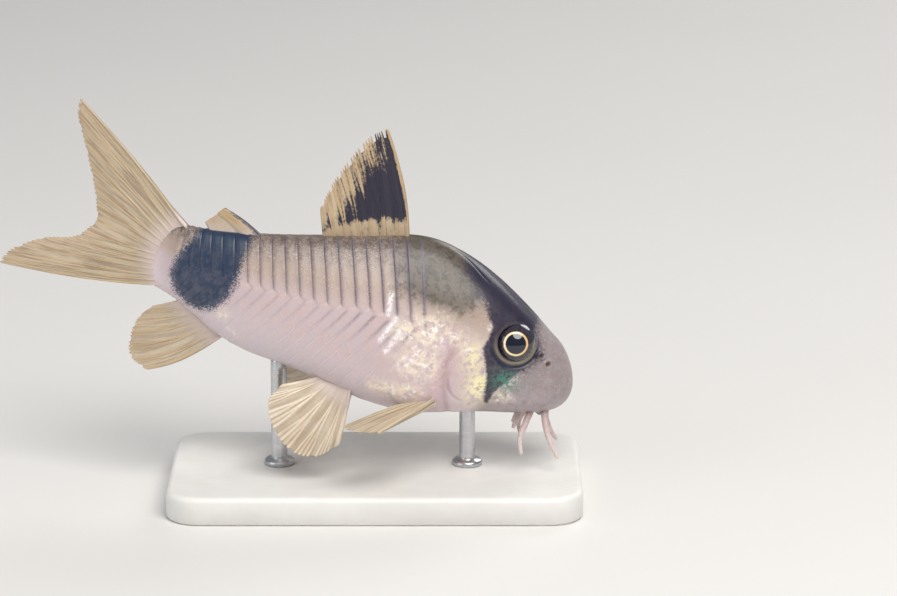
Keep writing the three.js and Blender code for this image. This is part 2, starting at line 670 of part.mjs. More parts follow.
add("head", headSolid(), SKIN);
add("torso", torsoSolid(), SKIN);
add("tail_stock", trunk(SEAM + GAP / 2, PLATES_TO + 0.35, place(BODY_LENGTH + 0.35, 0, 0.5)), DARK_SKIN);
add("dorsal_fin", dorsalFin(), DARK_FIN);
add("adipose_fin", adiposeFin(), FIN);
add("anal_fin", analFin(), FIN);
add("tail_fin_upper", tailLobe(1), FIN);
add("tail_fin_lower", tailLobe(-1), FIN);
[["left", 1], ["right", -1]].forEach(([name, side]) => {
  add(`eye_${name}`, eyeball(side, 0), EYE_GLASS);
  add(`gill_cover_${name}`, gillCover(side), GOLD_SKIN);
  add(`pectoral_fin_${name}`, pectoralFin(side), FIN);
  add(`pelvic_fin_${name}`, pelvicFin(side), FIN);
  Object.entries(BARBELS).forEach(([which, shape]) => {
    add(`barbel_${which}_${name}`, grown(barbel(side, shape)), FEELER);
  });
});
add("stand_base", baseSolid(), STAND);
Object.entries(RODS).forEach(([name, s]) => add(name, rodSolid(s), ROD));

export default fish;
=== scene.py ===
"""A panda corydoras catfish, nose down over a display base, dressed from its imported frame."""
import math

import bpy
import numpy as np
from bpy.props import FloatProperty, FloatVectorProperty, PointerProperty
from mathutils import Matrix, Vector


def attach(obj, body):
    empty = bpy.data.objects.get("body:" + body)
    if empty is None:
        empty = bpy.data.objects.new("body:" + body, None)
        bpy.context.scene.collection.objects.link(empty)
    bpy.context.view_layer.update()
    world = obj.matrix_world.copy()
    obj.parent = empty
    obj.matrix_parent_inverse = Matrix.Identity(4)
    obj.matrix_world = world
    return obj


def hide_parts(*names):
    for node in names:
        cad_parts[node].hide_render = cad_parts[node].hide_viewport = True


bl_info = {
    "name": "Corydoras Display Model",
    "version": (1, 0, 0),
    "blender": (4, 5, 0),
    "location": "View3D > Sidebar > Catfish",
    "description": "A small armoured catfish with spread fins on a display stand",
    "category": "Object",
}

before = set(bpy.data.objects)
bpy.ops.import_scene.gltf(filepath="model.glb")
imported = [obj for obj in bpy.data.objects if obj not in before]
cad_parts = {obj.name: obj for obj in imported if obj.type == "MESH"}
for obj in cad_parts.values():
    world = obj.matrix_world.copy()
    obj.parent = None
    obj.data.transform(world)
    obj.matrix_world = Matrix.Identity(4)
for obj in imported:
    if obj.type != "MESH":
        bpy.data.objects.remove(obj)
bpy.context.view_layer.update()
MM = 0.001
SIDES = ("left", 1), ("right", -1)

# Body sizes in millimetres: distances from the snout, heights from the body's axis
BODY_LENGTH = 38.0
PITCH = math.radians(16.5)
SNOUT_X, SNOUT_Z = 17.3, 9.8
SNOUT_LEVEL, SNOUT_ROUND = -0.6, 2.6
SWEEP, SWEEP_FROM, SWEEP_TO = math.radians(19), 19.0, 42.0
LIFT, LIFT_FROM, LIFT_TO = math.radians(8), 33.0, 42.0

# Profiles along the body, as (distance from the snout, value)
BACK = ((0, 2.3), (1.6, 3.05), (2.7, 3.6), (4.9, 5.0), (8.9, 7.3), (12, 8.55), (15.3, 9.15),
        (17.2, 8.95), (20.8, 7.85), (24, 6.9), (29, 5.4), (33.4, 4.25), (36, 3.75), (38.5, 3.5))
BELLY = ((0, -3.0), (1.6, -2.95), (4.8, -3.75), (7.6, -4.35), (10.5, -5.1), (13.5, -5.9),
         (17.5, -6.1), (20.5, -5.7), (24, -5.35), (28.4, -5.2), (31.5, -4.5), (33.6, -3.6),
         (35.7, -2.85), (38.5, -2.5))
HALF_WIDTH = ((0, 2.4), (1.6, 2.85), (4, 3.55), (7, 4.15), (10, 4.85), (13, 5.15), (17, 4.85),
              (21, 4.15), (26, 3.15), (31, 2.15), (35, 1.5), (38.5, 1.05))
WIDE_LEVEL = ((0, -0.7), (3, -0.9), (6, -0.9), (9.5, -1.7), (13.5, -2.3), (20, -1.1), (28, 0),
              (38.5, 0.45))
MEET_LEVEL = ((12, 2.2), (19, 2.4), (22, 1.8), (28, 1.2), (33, 0.7), (38.5, 0.45))
BACK_SHAPE = ((0, 2.1), (2.5, 2.4), (5.5, 2.9), (8, 2.5), (12, 2.0), (16, 1.75), (26, 1.85),
              (38.5, 2))
BELLY_SHAPE = ((0, 2.1), (5, 2.5), (12, 3), (20, 2.7), (28, 2.1), (38.5, 2))

# Plates of the flank, broader towards the head, with their rise, the groove between them and the zigzag
# where the upper and lower rows meet
PLATE_COUNT, PLATE_GROWTH = 20, 0.1
PLATE_RISE, PLATE_GROOVE, ZIGZAG = 0.075, 0.03, 0.3
PLATES_FROM, PLATES_TO = 14.2, 36.9
LEAN_TOP, LEAN_BELLY = math.tan(math.radians(19)), math.tan(math.radians(27))

# Features of the head and shoulder
EYE = {"s": 6.22, "height": 2.85, "radius": 1.85, "sunk": 1.1, "flat": 0.94}
GILL = {"s": 9.15, "height": -0.5, "reach": 1.85}
SHOULDER = {"s": 13.9, "height": -2.4, "reach": 1.9}
# Reaches from the eye's centre: the opening, the fold, the groove, the cheek, the pale olive ring and the
# painted shade along the groove below the eye
ORBIT = {"open": 1.46, "fold": 1.78, "groove": 2.07, "cheek": 2.5, "pale": 1.74, "dark": 2.1}
NOSTRILS = ((2.95, 1.85, 0.42), (3.75, 2.45, 0.38))
MOUTH = {"half": 1.35, "front": 2.1, "rear": 3.2}
GILL_FOLD = 11.55

# Steps between the skin's rings, its points round a ring, and the shares of half a plate with a ring
HEAD_STEP, NECK_STEP, SKIN_POINTS = 0.035, 0.06, 400
PLATE_RINGS = 0, 0.025, 0.05, 0.09, 0.14, 0.2, 0.26, 0.32, 0.37, 0.41, 0.44, 0.47

# Outlines of the dark mask and of the dark blotch, as (distance, height)
MASK = ((12.9, 10.0), (12.0, 7.75), (10.8, 6.65), (9.6, 5.6), (9.1, 4.7), (8.55, 4.0), (8.6, 3.0),
        (8.85, 2.05), (8.4, 1.05), (7.9, -0.1), (7.7, -1.1), (7.35, -2.6), (7.1, -2.7), (6.9, -1.65),
        (6.3, -0.7), (5.0, 1.0), (3.95, 2.4), (4.5, 3.4), (4.9, 4.4), (4.5, 5.4), (4.2, 10.0))
BLOTCH = ((30.6, 7.0), (30.5, 2.6), (30.5, 0.8), (30.9, -0.9), (31.8, -2.1), (33.0, -2.7), (34.3, -2.6),
          (35.5, -1.9), (36.2, -0.7), (36.2, 0.7), (35.7, 2.2), (35.1, 3.3), (35.0, 7.0))

# Pale patches as (distance, height, reach along, reach up), cream skin with painted highlight, and painted
# glints: wet highlights painted as white streaks from one place to another
PEARLS = ((13.6, 2.2, 1.7, 1.6), (13.8, -0.6, 1.9, 1.6), (15.8, 1.6, 1.1, 0.9), (16.2, -3.7, 1.6, 0.7),
          (14.0, -3.4, 1.3, 0.9), (11.2, 2.2, 0.9, 0.8), (6.2, -1.8, 0.9, 0.5), (30.9, -2.5, 0.6, 0.6),
          (29.9, -3.8, 0.8, 0.5))
PAINTED_GLINTS = (((17.75, 4.3), (17.55, 2.6)), ((16.8, 2.5), (17.6, 0.3)), ((16.2, 1.3), (16.9, -0.5)),
           ((8.7, 4.1), (8.8, 3.8)))


# Shape of the body
def smooth(x, low, high):
    """Eases from 0 at low to 1 at high, which may be the lower of the two"""
    t = np.clip((np.asarray(x, float) - low) / (high - low), 0, 1)
    return t * t * (3 - 2 * t)


def mix(a, b, t):
    return a + (b - a) * t


def hump(x, centre, width):
    return np.exp(-(((x - centre) / width) ** 2))


def unit(way):
    return way / np.maximum(np.linalg.norm(way, axis=-1, keepdims=True), 1e-9)


def turns(count):
    """Even turns round a circle"""
    return np.linspace(0, 2 * math.pi, count, endpoint=False)


def hermite(t, start, end, leave, arrive):
    """A cubic from one value to another, with its slopes at both"""
    t2, t3 = t**2, t**3
    near = (2 * t3 - 3 * t2 + 1) * start + (t3 - 2 * t2 + t) * leave
    return near + (3 * t2 - 2 * t3) * end + (t3 - t2) * arrive


def along(profile, s):
    """A smooth value through a profile's points, with no overshoot at a peak"""
    xs, ys = np.array(profile, float).T
    slopes = np.diff(ys) / np.diff(xs)
    tangents = np.concatenate([slopes[:1], (slopes[:-1] + slopes[1:]) / 2, slopes[-1:]])
    tangents[1:-1][slopes[:-1] * slopes[1:] <= 0] = 0
    s = np.clip(s, xs[0], xs[-1])
    i = np.clip(np.searchsorted(xs, s, side="right") - 1, 0, len(xs) - 2)
    run = xs[i + 1] - xs[i]
    return hermite((s - xs[i]) / run, ys[i], ys[i + 1], run * tangents[i], run * tangents[i + 1])


def backbone(step=0.25, end=60.0):
    """Places along the backbone and its directions left and up"""
    s = np.arange(0, end + step, step)
    yaw = SWEEP * smooth(s, SWEEP_FROM, SWEEP_TO)
    lift = LIFT * smooth(s, LIFT_FROM, LIFT_TO)
    tail = np.stack([np.cos(lift) * np.cos(yaw), np.cos(lift) * np.sin(yaw), np.sin(lift)], -1)
    left = np.stack([-np.sin(yaw), np.cos(yaw), 0 * yaw], -1)
    up = np.stack([-np.sin(lift) * np.cos(yaw), -np.sin(lift) * np.sin(yaw), np.cos(lift)], -1)
    return s, np.vstack([np.zeros(3), np.cumsum(tail[:-1] * step, axis=0)]), left, up


SPINE = backbone()


def place(s, y, h):
    """Body place (distance from the snout, to the left, upwards) to model place, in millimetres"""
    s, y, h = np.broadcast_arrays(*(np.asarray(v, float) for v in (s, y, h)))
    own, *tables = SPINE
    at, left, up = (np.stack([np.interp(s, own, t[:, k]) for k in range(3)], -1) for t in tables)
    rear, aside, high = np.moveaxis(at + left * y[..., None] + up * h[..., None], -1, 0)
    rear = rear + np.minimum(s, 0)
    x = SNOUT_X - rear * math.cos(PITCH) + high * math.sin(PITCH)
    z = SNOUT_Z + rear * math.sin(PITCH) + high * math.cos(PITCH)
    return np.stack([x, aside, z], -1)


def section(s):
    """Top, bottom, widest level and half width of the body"""
    rounding = np.sqrt(1 - np.clip(1 - s / SNOUT_ROUND, 0, 1) ** 2)
    levels = [SNOUT_LEVEL + (along(p, s) - SNOUT_LEVEL) * rounding for p in (BACK, BELLY, WIDE_LEVEL)]
    return *levels, along(HALF_WIDTH, s) * rounding


def quarter(s, above):
    """Half height and squareness of the body above or below its widest level"""
    top, bottom, level, _ = section(s)
    half = np.where(above, top - level, level - bottom)
    return half, np.where(above, along(BACK_SHAPE, s), along(BELLY_SHAPE, s))


def skin_at(s, turn):
    """Left-hand distance and height on the body's skin, by a turn from the left flank to the back"""
    _, _, level, width = section(s)
    half, power = quarter(s, np.sin(turn) >= 0)
    reach = (np.abs(np.cos(turn)) ** power + np.abs(np.sin(turn)) ** power) ** (-1 / power)
    return np.cos(turn) * reach * width, level + np.sin(turn) * reach * half


def flank(s, height):
    """Half width of the body at a height"""
    _, _, level, width = section(s)
    half, power = quarter(s, height >= level)
    return width * (1 - np.clip(np.abs(height - level) / half, 0, 1) ** power) ** (1 / power)


def through(places):
    """A smooth line through a few places, for a share 0 to 1"""
    points = np.array(places, float)
    ends = np.vstack([2 * points[0] - points[1], points, 2 * points[-1] - points[-2]])

    def line(t):
        reach = np.clip(np.asarray(t, float), 0, 1) * (len(points) - 1)
        i = np.minimum(reach.astype(int), len(points) - 2)
        p = [ends[i + k] for k in range(4)]
        gaps = [np.sqrt(np.linalg.norm(p[k + 1] - p[k], axis=-1))[..., None] for k in range(3)]
        slopes = [(p[k + 1] - p[k]) / gaps[k] for k in range(3)]
        leave = slopes[0] + slopes[1] - (p[2] - p[0]) / (gaps[0] + gaps[1])
        arrive = slopes[1] + slopes[2] - (p[3] - p[1]) / (gaps[1] + gaps[2])
        return hermite((reach - i)[..., None], p[1], p[2], leave * gaps[1], arrive * gaps[1])

    return line


# Meshes
def lathed(rings):
    """Points and outward quads of a closed skin over rings, each end drawn together to its middle"""
    count, sides, _ = rings.shape
    ends = [np.repeat(ring.mean(0, keepdims=True), sides, 0)[None] for ring in (rings[0], rings[-1])]
    points = np.concatenate([ends[0], rings, ends[1]]).reshape(-1, 3)
    row, column = np.arange(count + 1)[:, None] * sides, np.arange(sides)[None, :]
    after = (column + 1) % sides
    corners = row + column, row + after, row + sides + after, row + sides + column
    faces = np.stack([corner.ravel() for corner in corners], -1)
    a, b, c, d = (points[faces[:, k]] for k in range(4))
    volume = (a * (np.cross(b, c) + np.cross(c, d))).sum()
    return points, faces if volume > 0 else faces[:, ::-1]


def add(name, data):
    thing = bpy.data.objects.new(name, data)
    bpy.context.collection.objects.link(thing)
    return thing


def piece(name, rings, material, replaces, values=None):
    """A smooth mesh over rings of places in millimetres, in the stead of the nodes it replaces.
    Values hold numbers for the material at every place."""
    points, faces = lathed(np.asarray(rings))
    mesh = bpy.data.meshes.new(name)
    mesh.from_pydata((points * MM).tolist(), [], faces.tolist(), shade_flat=False)
    for key, value in (values or {}).items():
        layer = mesh.attributes.new(key, "FLOAT", "POINT")
        whole = np.concatenate([value[:1], value, value[-1:]])
        layer.data.foreach_set("value", whole.astype(np.float32).ravel())
    mesh.validate()
    mesh.materials.append(material)
    made = add(name, mesh)
    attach(made, "root")
    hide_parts(*replaces)


# Materials
class Finish:
    """A material built up from a few kinds of node"""

    def __init__(self, name, **sockets):
        self.material = bpy.data.materials.new(name)
        self.material.use_nodes = True
        self.tree = self.material.node_tree
        self.finish(**sockets)
        self.millimetres = self.vector("SCALE", self.node("TexCoord", {}, "Object"), 1 / MM)

    def put(self, socket, value):
        if isinstance(value, bpy.types.NodeSocket):
            self.tree.links.new(value, socket)
        elif socket.type == "RGBA" and len(value) == 3:
            socket.default_value = (*value, 1)
        else:
            socket.default_value = value

    def finish(self, **sockets):
        """Set or link sockets of the surface, and hand over the material"""
        for socket, value in sockets.items():
            self.put(self.tree.nodes["Principled BSDF"].inputs[socket.replace("_", " ")], value)
        return self.material

    def node(self, kind, inputs, output, **settings):
        """An output of a new node with its settings made and its inputs set or linked"""
        node = self.tree.nodes.new("ShaderNode" + kind)
        for key, value in settings.items():
            setattr(node, key, value)
        for key, value in inputs.items():
            self.put(node.inputs[key], value)
        return node.outputs[output]

    def vector(self, operation, a, b):
        second = "Scale" if operation == "SCALE" else 1
        return self.node("VectorMath", {0: a, second: b}, 0, operation=operation)

    def math(self, operation, a, b):
        return self.node("Math", {0: a, 1: b}, 0, operation=operation)

    def times(self, a, b):
        return self.math("MULTIPLY", a, b)

    def value(self, name):
        return self.node("Attribute", {}, "Fac", attribute_name=name)

    def noise(self, scale, detail=3, rough=0.55, vector=None):
        inputs = {"Vector": vector or self.millimetres, "Scale": scale, "Detail": detail, "Roughness": rough}
        return self.node("TexNoise", inputs, "Fac")

    def band(self, value, low, high, to_low=0.0, to_high=1.0):
        """A value eased from one range to another"""
        inputs = {"Value": value, "From Min": low, "From Max": high, "To Min": to_low, "To Max": to_high}
        return self.node("MapRange", inputs, "Result", interpolation_type="SMOOTHSTEP")

    def shaken(self, value, noise, spread):
        """A value moved up and down by a noise"""
        return self.math("ADD", value, self.times(self.math("SUBTRACT", noise, 0.5), spread))

    def ragged(self, name, noise, spread, low, high):
        """A marking whose edge is broken up by a noise"""
        return self.band(self.shaken(self.value(name), noise, spread), low, high)

    def blend(self, share, a, b):
        return self.node("Mix", {"Factor": share, 6: a, 7: b}, 2, data_type="RGBA")

    def lay(self, share, strength, colour):
        """Lay another colour over the material's own"""
        self.colour = self.blend(self.times(share, strength), self.colour, colour)

    def cloudy(self, noise, a, b, low=0.35, high=0.65):
        """Two colours in patches"""
        return self.blend(self.band(noise, low, high), a, b)

    def bump(self, height, depth, strength, below=None):
        inputs = {"Height": height, "Distance": depth * MM, "Strength": strength}
        if below:
            inputs["Normal"] = below
        return self.node("Bump", inputs, "Normal")


# Skin
def from_line(s, h, a, b):
    """Distance to the straight line between two places of the flank"""
    run = np.subtract(b, a)
    t = np.clip(((s - a[0]) * run[0] + (h - a[1]) * run[1]) / (run @ run), 0, 1)
    return np.hypot(s - a[0] - t * run[0], h - a[1] - t * run[1])


def inside(outline, s, h):
    """Signed distance to a closed outline, positive inside"""
    corners = np.array(outline)
    far = np.full(s.shape, 1e9)
    within = np.zeros(s.shape, bool)
    for a, b in zip(corners, np.roll(corners, -1, axis=0)):
        far = np.minimum(far, from_line(s, h, a, b))
        crosses = (a[1] > h) != (b[1] > h)
        level = b[1] - a[1]
        at = a[0] + (h - a[1]) * (b[0] - a[0]) / (level if level else 1e-9)
        within ^= crosses & (s < at)
    return np.where(within, far, -far)


def plate_phase(q):
    """How many plates lie in front of a ring"""
    share = (q - PLATES_FROM) / (PLATES_TO - PLATES_FROM)
    return PLATE_COUNT * (share * (1 - PLATE_GROWTH) + PLATE_GROWTH * share**2)


def plate_front(phase):
    """The ring behind a number of plates"""
    even = 1 - PLATE_GROWTH
    share = (np.sqrt(even**2 + 4 * PLATE_GROWTH * phase / PLATE_COUNT) - even) / (2 * PLATE_GROWTH)
    return PLATES_FROM + (PLATES_TO - PLATES_FROM) * share


def eye_frame(side):
    """Centre of an eye, with its directions outward, forward and up"""
    centre = place(EYE["s"], side * (flank(EYE["s"], EYE["height"]) - EYE["sunk"]), EYE["height"])
    outward = unit(np.array([0.03, side, 0.2]))
    forward = unit(np.cross((0, 0, 1), outward) * -side)
    return centre, outward, forward, np.cross(forward, outward) * side


def skin_grid():
    """Distances of the rings, and the places, sides and heights of their points"""
    snout = SNOUT_ROUND * (1 - np.cos(np.linspace(0.04, math.pi / 2, 64)))
    head = np.arange(SNOUT_ROUND + HEAD_STEP, 12.0, HEAD_STEP)
    neck = np.arange(12.0, PLATES_FROM, NECK_STEP)
    plates = plate_front(np.arange(0, PLATE_COUNT, 0.5)[:, None] + np.array(PLATE_RINGS))
    tail = np.linspace(PLATES_TO, BODY_LENGTH + 0.25, 26)
    q = np.concatenate([snout, head, neck, plates.ravel(), tail])[:, None]
    turn = turns(SKIN_POINTS)[None, :]
    _, level = skin_at(q, turn)
    above = level - along(MEET_LEVEL, q)
    lean = smooth(q, 10.5, PLATES_FROM) * (1 - 0.9 * smooth(q, PLATES_TO - 4, PLATES_TO + 0.5))
    s = q + lean * np.where(above > 0, LEAN_TOP * above, -LEAN_BELLY * above)
    s = np.minimum(s, mix(s, BODY_LENGTH + 0.3, smooth(q, 36, BODY_LENGTH)))
    y, h = skin_at(s, turn)
    return q, turn, s, y * (1 - 0.72 * smooth(s, 35.6, BODY_LENGTH + 0.3)), h


def plate_relief(q, turn, s, h):
    """Height of the overlapping plates, how strongly their edges show, and a painted highlight on the middle
    of each plate
    """
    above = h - along(MEET_LEVEL, s)
    phase = plate_phase(q)
    zigzag = ZIGZAG * (np.abs((phase % 1) - 0.5) * 2 - 0.5)
    upper = above > zigzag
    phase = np.where(upper, phase, phase + 0.5)
    part = phase % 1
    tile = smooth(part, 0.0, 0.8) * smooth(part, 1.0, 0.94)
    last = smooth(q, PLATES_TO, PLATES_TO - 1.0)
    there = smooth(q, PLATES_FROM - 0.2, PLATES_FROM + 0.5) * last
    drawn = smooth(q, PLATES_FROM - 0.5, PLATES_FROM - 0.1) * last
    bare = smooth(s, 29.5, 26.5)
    ridge = np.sin(turn)
    sides = smooth(ridge, mix(-1.02, -0.9, bare), mix(-0.99, -0.8, bare))
    sides = sides * smooth(ridge, 0.998, 0.975)
    seam = hump(above - zigzag, 0, 0.16)
    soft = np.where(upper, 1.0, mix(0.75, 0.4, smooth(-above, 0, 3.5)))
    rise = there * sides * soft * (PLATE_RISE * tile - PLATE_GROOVE * (hump(part, 0.02, 0.06) + seam))
    edge = np.maximum(hump(part, 0.95, 0.14), hump(part, -0.05, 0.14))
    edge = edge * drawn * sides * (1 - 0.8 * seam)
    front = smooth(q, 24, 17.5)
    low = mix(0.25, 0.75, front) * (1 - 0.9 * smooth(-above, 0.3, 3.4))
    shade = np.where(upper, smooth(above, -1.5, 1.2) * mix(0.72, 1, front), low)
    return rise, edge * shade, hump(part, 0.5, 0.24) * there * np.where(upper, 1, 0.35)


def patch_relief(s, h, spec, tall, rise):
    """An oval plate that rises to a sharp rear edge"""
    ds, dh = s - spec["s"], h - spec["height"]
    turn = np.arctan2(dh, ds)
    edge = spec["reach"] * (1 + 0.06 * np.cos(turn) + tall * np.abs(np.sin(turn)) ** 1.5)
    share = np.hypot(ds, dh) / edge
    rear = smooth(np.cos(turn), -0.25, 0.65)
    top = rise * rear * smooth(share, 0, 0.85) * smooth(share, 1.02, 0.92)
    return top - 0.5 * rise * rear * hump(share, 1.06, 0.05), share


def eye_relief(points, side):
    """The orbit: open where the eye stands out, with a fold and a groove below it"""
    centre, outward, _, up = eye_frame(side)
    way = points - centre
    out = way @ outward
    reach = np.sqrt(np.maximum((way**2).sum(-1) - out**2, 0))
    near = (out > -0.6) & (reach < 4)
    low = smooth(-(way @ up) / np.maximum(reach, 1e-3), -0.5, 0.5)
    fold = 0.08 * hump(reach, ORBIT["fold"], 0.14) - 0.12 * hump(reach, ORBIT["groove"], 0.13)
    fold = low * (fold + 0.03 * hump(reach, ORBIT["cheek"], 0.3))
    rise = fold - 1.5 * smooth(reach, ORBIT["open"] + 0.1, ORBIT["open"] - 0.1)
    return np.where(near, rise, 0), np.where(near, reach, 9), np.where(near, low, 0)


def mouth_relief(s, y, h):
    """Two lips under the snout with the mouth between them"""
    _, bottom, level, _ = section(s)
    under = smooth(h, mix(level, bottom, 0.75), mix(level, bottom, 0.95))
    wide = smooth(np.abs(y), 1.65, 1.1) * under
    share = (y / MOUTH["half"]) ** 2 - 0.5
    front, rear = MOUTH["front"] + 0.75 * share, MOUTH["rear"] - 0.35 * share
    slit = (front + rear) / 2
    lips = 0.34 * hump(s, front, 0.34) + 0.28 * hump(s, rear, 0.3)
    return wide * (lips - 0.5 * hump(s, slit, 0.17)), wide * hump(s, slit, 0.16), wide * hump(s, slit, 0.9)


def nostril_relief(s, h):
    rise, hole = np.zeros(s.shape), np.zeros(s.shape)
    for at, height, rim in NOSTRILS:
        reach = np.hypot(s - at, (h - height) * 1.1)
        rise += 0.15 * hump(reach, rim * 0.8, 0.13) - 0.34 * smooth(reach, 0.25, 0.08)
        hole += smooth(reach, 0.24, 0.06)
    return rise, hole


def skull_relief(s, y, h):
    """Shallow sutures on top of the head, and the fold of the gill opening"""
    top, _, _, _ = section(s)
    crown = smooth(h, top - 1.4, top - 0.5)
    slot = 0.08 * hump(y, 0, 0.22) * smooth(s, 5.2, 5.8) * smooth(s, 8.8, 8.0) * crown
    arrow = hump(np.abs(y) - mix(1.9, 0.5, smooth(s, 9.5, 13.5)), 0, 0.12)
    arrow = 0.04 * arrow * smooth(s, 9.5, 10.2) * smooth(s, 13.8, 13.2) * smooth(h, top - 3, top - 2)
    behind = GILL_FOLD - 0.18 * (np.abs(h + 0.2) / 1.2) ** 1.6
    fold = hump(s, behind, 0.34) * smooth(h, 3.2, 0.8) * smooth(h, -5.4, -4.2)
    return -slot - arrow - 0.1 * fold, fold


def spot(s, h, at, height, reach, tall):
    """A soft oval round a place of the flank"""
    return hump(np.hypot((s - at) / reach, (h - height) / tall), 0, 1)


def skin_points():
    """Places of the finished skin, with the strength of each marking, painted highlight and painted shade at
    each point
    """
    q, turn, s, y, h = skin_grid()
    base = place(s, y, h)
    normal = unit(np.cross(np.gradient(base, axis=0), np.roll(base, -1, 1) - np.roll(base, 1, 1)))
    plates, lines, sheen = plate_relief(q, turn, s, h)
    gill, _ = patch_relief(s, h, GILL, 0.3, 0.13)
    shoulder, shoulder_share = patch_relief(s, h, SHOULDER, 0.25, 0.1)
    sides = smooth(np.abs(y), 1.2, 2.2)
    socket, low, orbits = np.full(s.shape, 9.0), np.zeros(s.shape), np.zeros(s.shape)
    for _, side in SIDES:
        orbit, reach, lower = eye_relief(base, side)
        orbits, socket, low = orbits + orbit, np.minimum(socket, reach), low + lower
    lips, mouth, lip_skin = mouth_relief(s, y, h)
    nose, holes = nostril_relief(s, h)
    skull, fold = skull_relief(s, y, h)
    rise = plates * smooth(shoulder_share, 0.9, 1.1) + (gill + shoulder) * sides
    rise = rise + orbits + lips + nose + skull
    rise[:3] *= np.array([0, 0.3, 0.7])[:, None]
    top, bottom, level, _ = section(s)
    meet = along(MEET_LEVEL, s)
    up = (h - meet) / np.maximum(top - meet, 0.5)
    mask_fade = np.maximum(smooth(s, 6.0, 4.0), 0.8 * smooth(h, 4.0, 6.5))
    gold = np.maximum(spot(s, h, 8.3, -1.3, 1.15, 1.7), 0.75 * spot(s, h, 9.4, 1.0, 1.0, 1.5))
    # Cream patches of the skin, brightened with painted highlight
    pearl = np.max([spot(s, h, *patch) for patch in PEARLS], axis=0)
    # Painted glints: white streaks of wet highlight on the front plates and behind the mask
    streak = np.max([hump(from_line(s, h, *ends), 0, 0.22) for ends in PAINTED_GLINTS], axis=0)
    values = {
        "back": smooth(up, 0.35, 0.97),
        "belly": smooth(h, mix(bottom, level, 1.1), mix(bottom, level, 0.15)),
        "nape": smooth(s, 9.0, 12) * smooth(s, 20, 15) * smooth(h, 2.8, 6.8),
        "snout": smooth(s - 2.6 * smooth(-h, 0.2, 2.2), 6.8, 3.6),
        "cheek": smooth(-h, -0.5, 2.4) * smooth(s, 9, 5),
        "blush": hump(s, 11.5, 1.0) * smooth(h, 4.0, 0.5),
        "lines": lines,
        # Painted highlight on the middle of each plate
        "sheen": sheen,
        "upper": smooth(up, -0.1, 0.4),
        "mask": 0.5 + inside(MASK, s, h) / mix(1.0, 5.0, mask_fade),
        "blotch": 0.5 + inside(BLOTCH, s, h) / 2.2,
        "gold": gold * sides,
        "pearl": pearl * sides,
        # Painted glints
        "streak": streak * sides,
        "green": spot(s, h, 6.0, -0.3, 1.3, 0.9) * sides,
        "orbit": hump(socket, ORBIT["pale"], 0.15) * mix(0.12, 1, low),
        # Painted shade in the groove below the eye, in the mask's colour
        "moat": hump(socket, ORBIT["dark"], 0.17) * low,
        # Painted shade in the mouth slit, the nostrils and the gill fold
        "hollow": np.clip(mouth + holes + 0.5 * fold, 0, 1),
        "lips": lip_skin,
    }
    return base + normal * rise[..., None], values


def skin_material(colours):
    made = Finish("moist_skin", Subsurface_Weight=0.1, Subsurface_Scale=0.0006, IOR=1.42,
                  Subsurface_Radius=(1.0, 0.45, 0.3), Coat_Weight=0.25, Coat_Roughness=0.17)
    fine, coarse, grain = made.noise(4.5, 4, 0.65), made.noise(0.8), made.noise(11.0, 2)
    patchy = made.noise(1.7, 4, 0.65)

    def over(name, strength, noise=None, low=0.4, high=0.6, colour=None):
        """Lay a marking's own colour or another, broken up by a noise"""
        share = made.value(name)
        if noise is not None:
            share = made.times(share, made.band(noise, low, high))
        made.lay(share, strength, colours[colour or name])

    made.colour = made.cloudy(coarse, colours["flank"], colours["flush"])
    warm = made.cloudy(patchy, colours["upper"], colours["upper_warm"])
    made.lay(made.value("upper"), 1.0, warm)
    over("belly", 0.8)
    # Painted highlight on the middle of each plate
    over("sheen", 0.4, fine, 0.25, 0.7)
    over("back", 0.85, fine, 0.1, 0.6)
    olive = made.ragged("nape", patchy, 0.5, 0.05, 0.65)
    made.lay(olive, 0.85, colours["nape"])
    mottled = made.math("MAXIMUM", olive, made.times(made.value("back"), 0.7))
    mottled = made.times(mottled, made.band(made.noise(1.7, 5, 0.72), 0.48, 0.56))
    made.lay(mottled, 0.85, colours["freckle"])
    over("lines", 0.85, fine, 0.2, 0.5)
    over("blush", 0.6)
    snout = made.cloudy(patchy, colours["snout"], colours["snout_cool"], 0.3, 0.7)
    made.lay(made.ragged("snout", patchy, 0.3, 0.15, 0.85), 1.0, snout)
    over("cheek", 0.75, patchy, 0.15, 0.6)
    glitter = made.times(made.band(grain, 0.55, 0.7), made.band(coarse, 0.4, 0.55, 0.05, 0.32))
    made.lay(glitter, made.band(olive, 0.0, 0.5, 1.0, 0.1), colours["pearl"])
    # Cream patches of the skin, brightened with painted highlight
    over("pearl", 0.85, patchy, 0.36, 0.62)
    # Painted glints: white cores inside the cream patches
    over("pearl", 0.8, made.noise(2.3, 4), 0.54, 0.66, "streak")
    # Painted glints: white streaks of wet highlight
    over("streak", 0.85, fine, 0.35, 0.58)
    over("gold", 1.0, made.noise(1.5, 5, 0.72), 0.4, 0.5)
    over("gold", 0.55, made.noise(2.2, 4, 0.7), 0.56, 0.64, "freckle")
    ink = made.math("MAXIMUM", made.ragged("mask", fine, 0.5, 0.3, 0.62),
                    made.ragged("blotch", made.noise(6.0, 4, 0.8), 1.3, 0.3, 0.62))
    dark = made.cloudy(made.value("blotch"), colours["mask"], colours["blotch"], 0.0, 0.4)
    made.lay(ink, made.band(patchy, 0.35, 0.7, 0.97, 0.88), dark)
    over("green", 1.0, fine, 0.4, 0.56)
    over("orbit", 0.75)
    # Painted shade in the groove below the eye
    over("moat", 0.9, colour="mask")
    over("lips", 0.5)
    # Painted shade in the mouth slit, the nostrils and the gill fold
    over("hollow", 0.5)
    normal = made.bump(patchy, 0.05, 0.3, made.bump(grain, 0.03, 0.4))
    return made.finish(Base_Color=made.colour, Roughness=made.band(fine, 0.2, 0.8, 0.3, 0.5), Normal=normal)


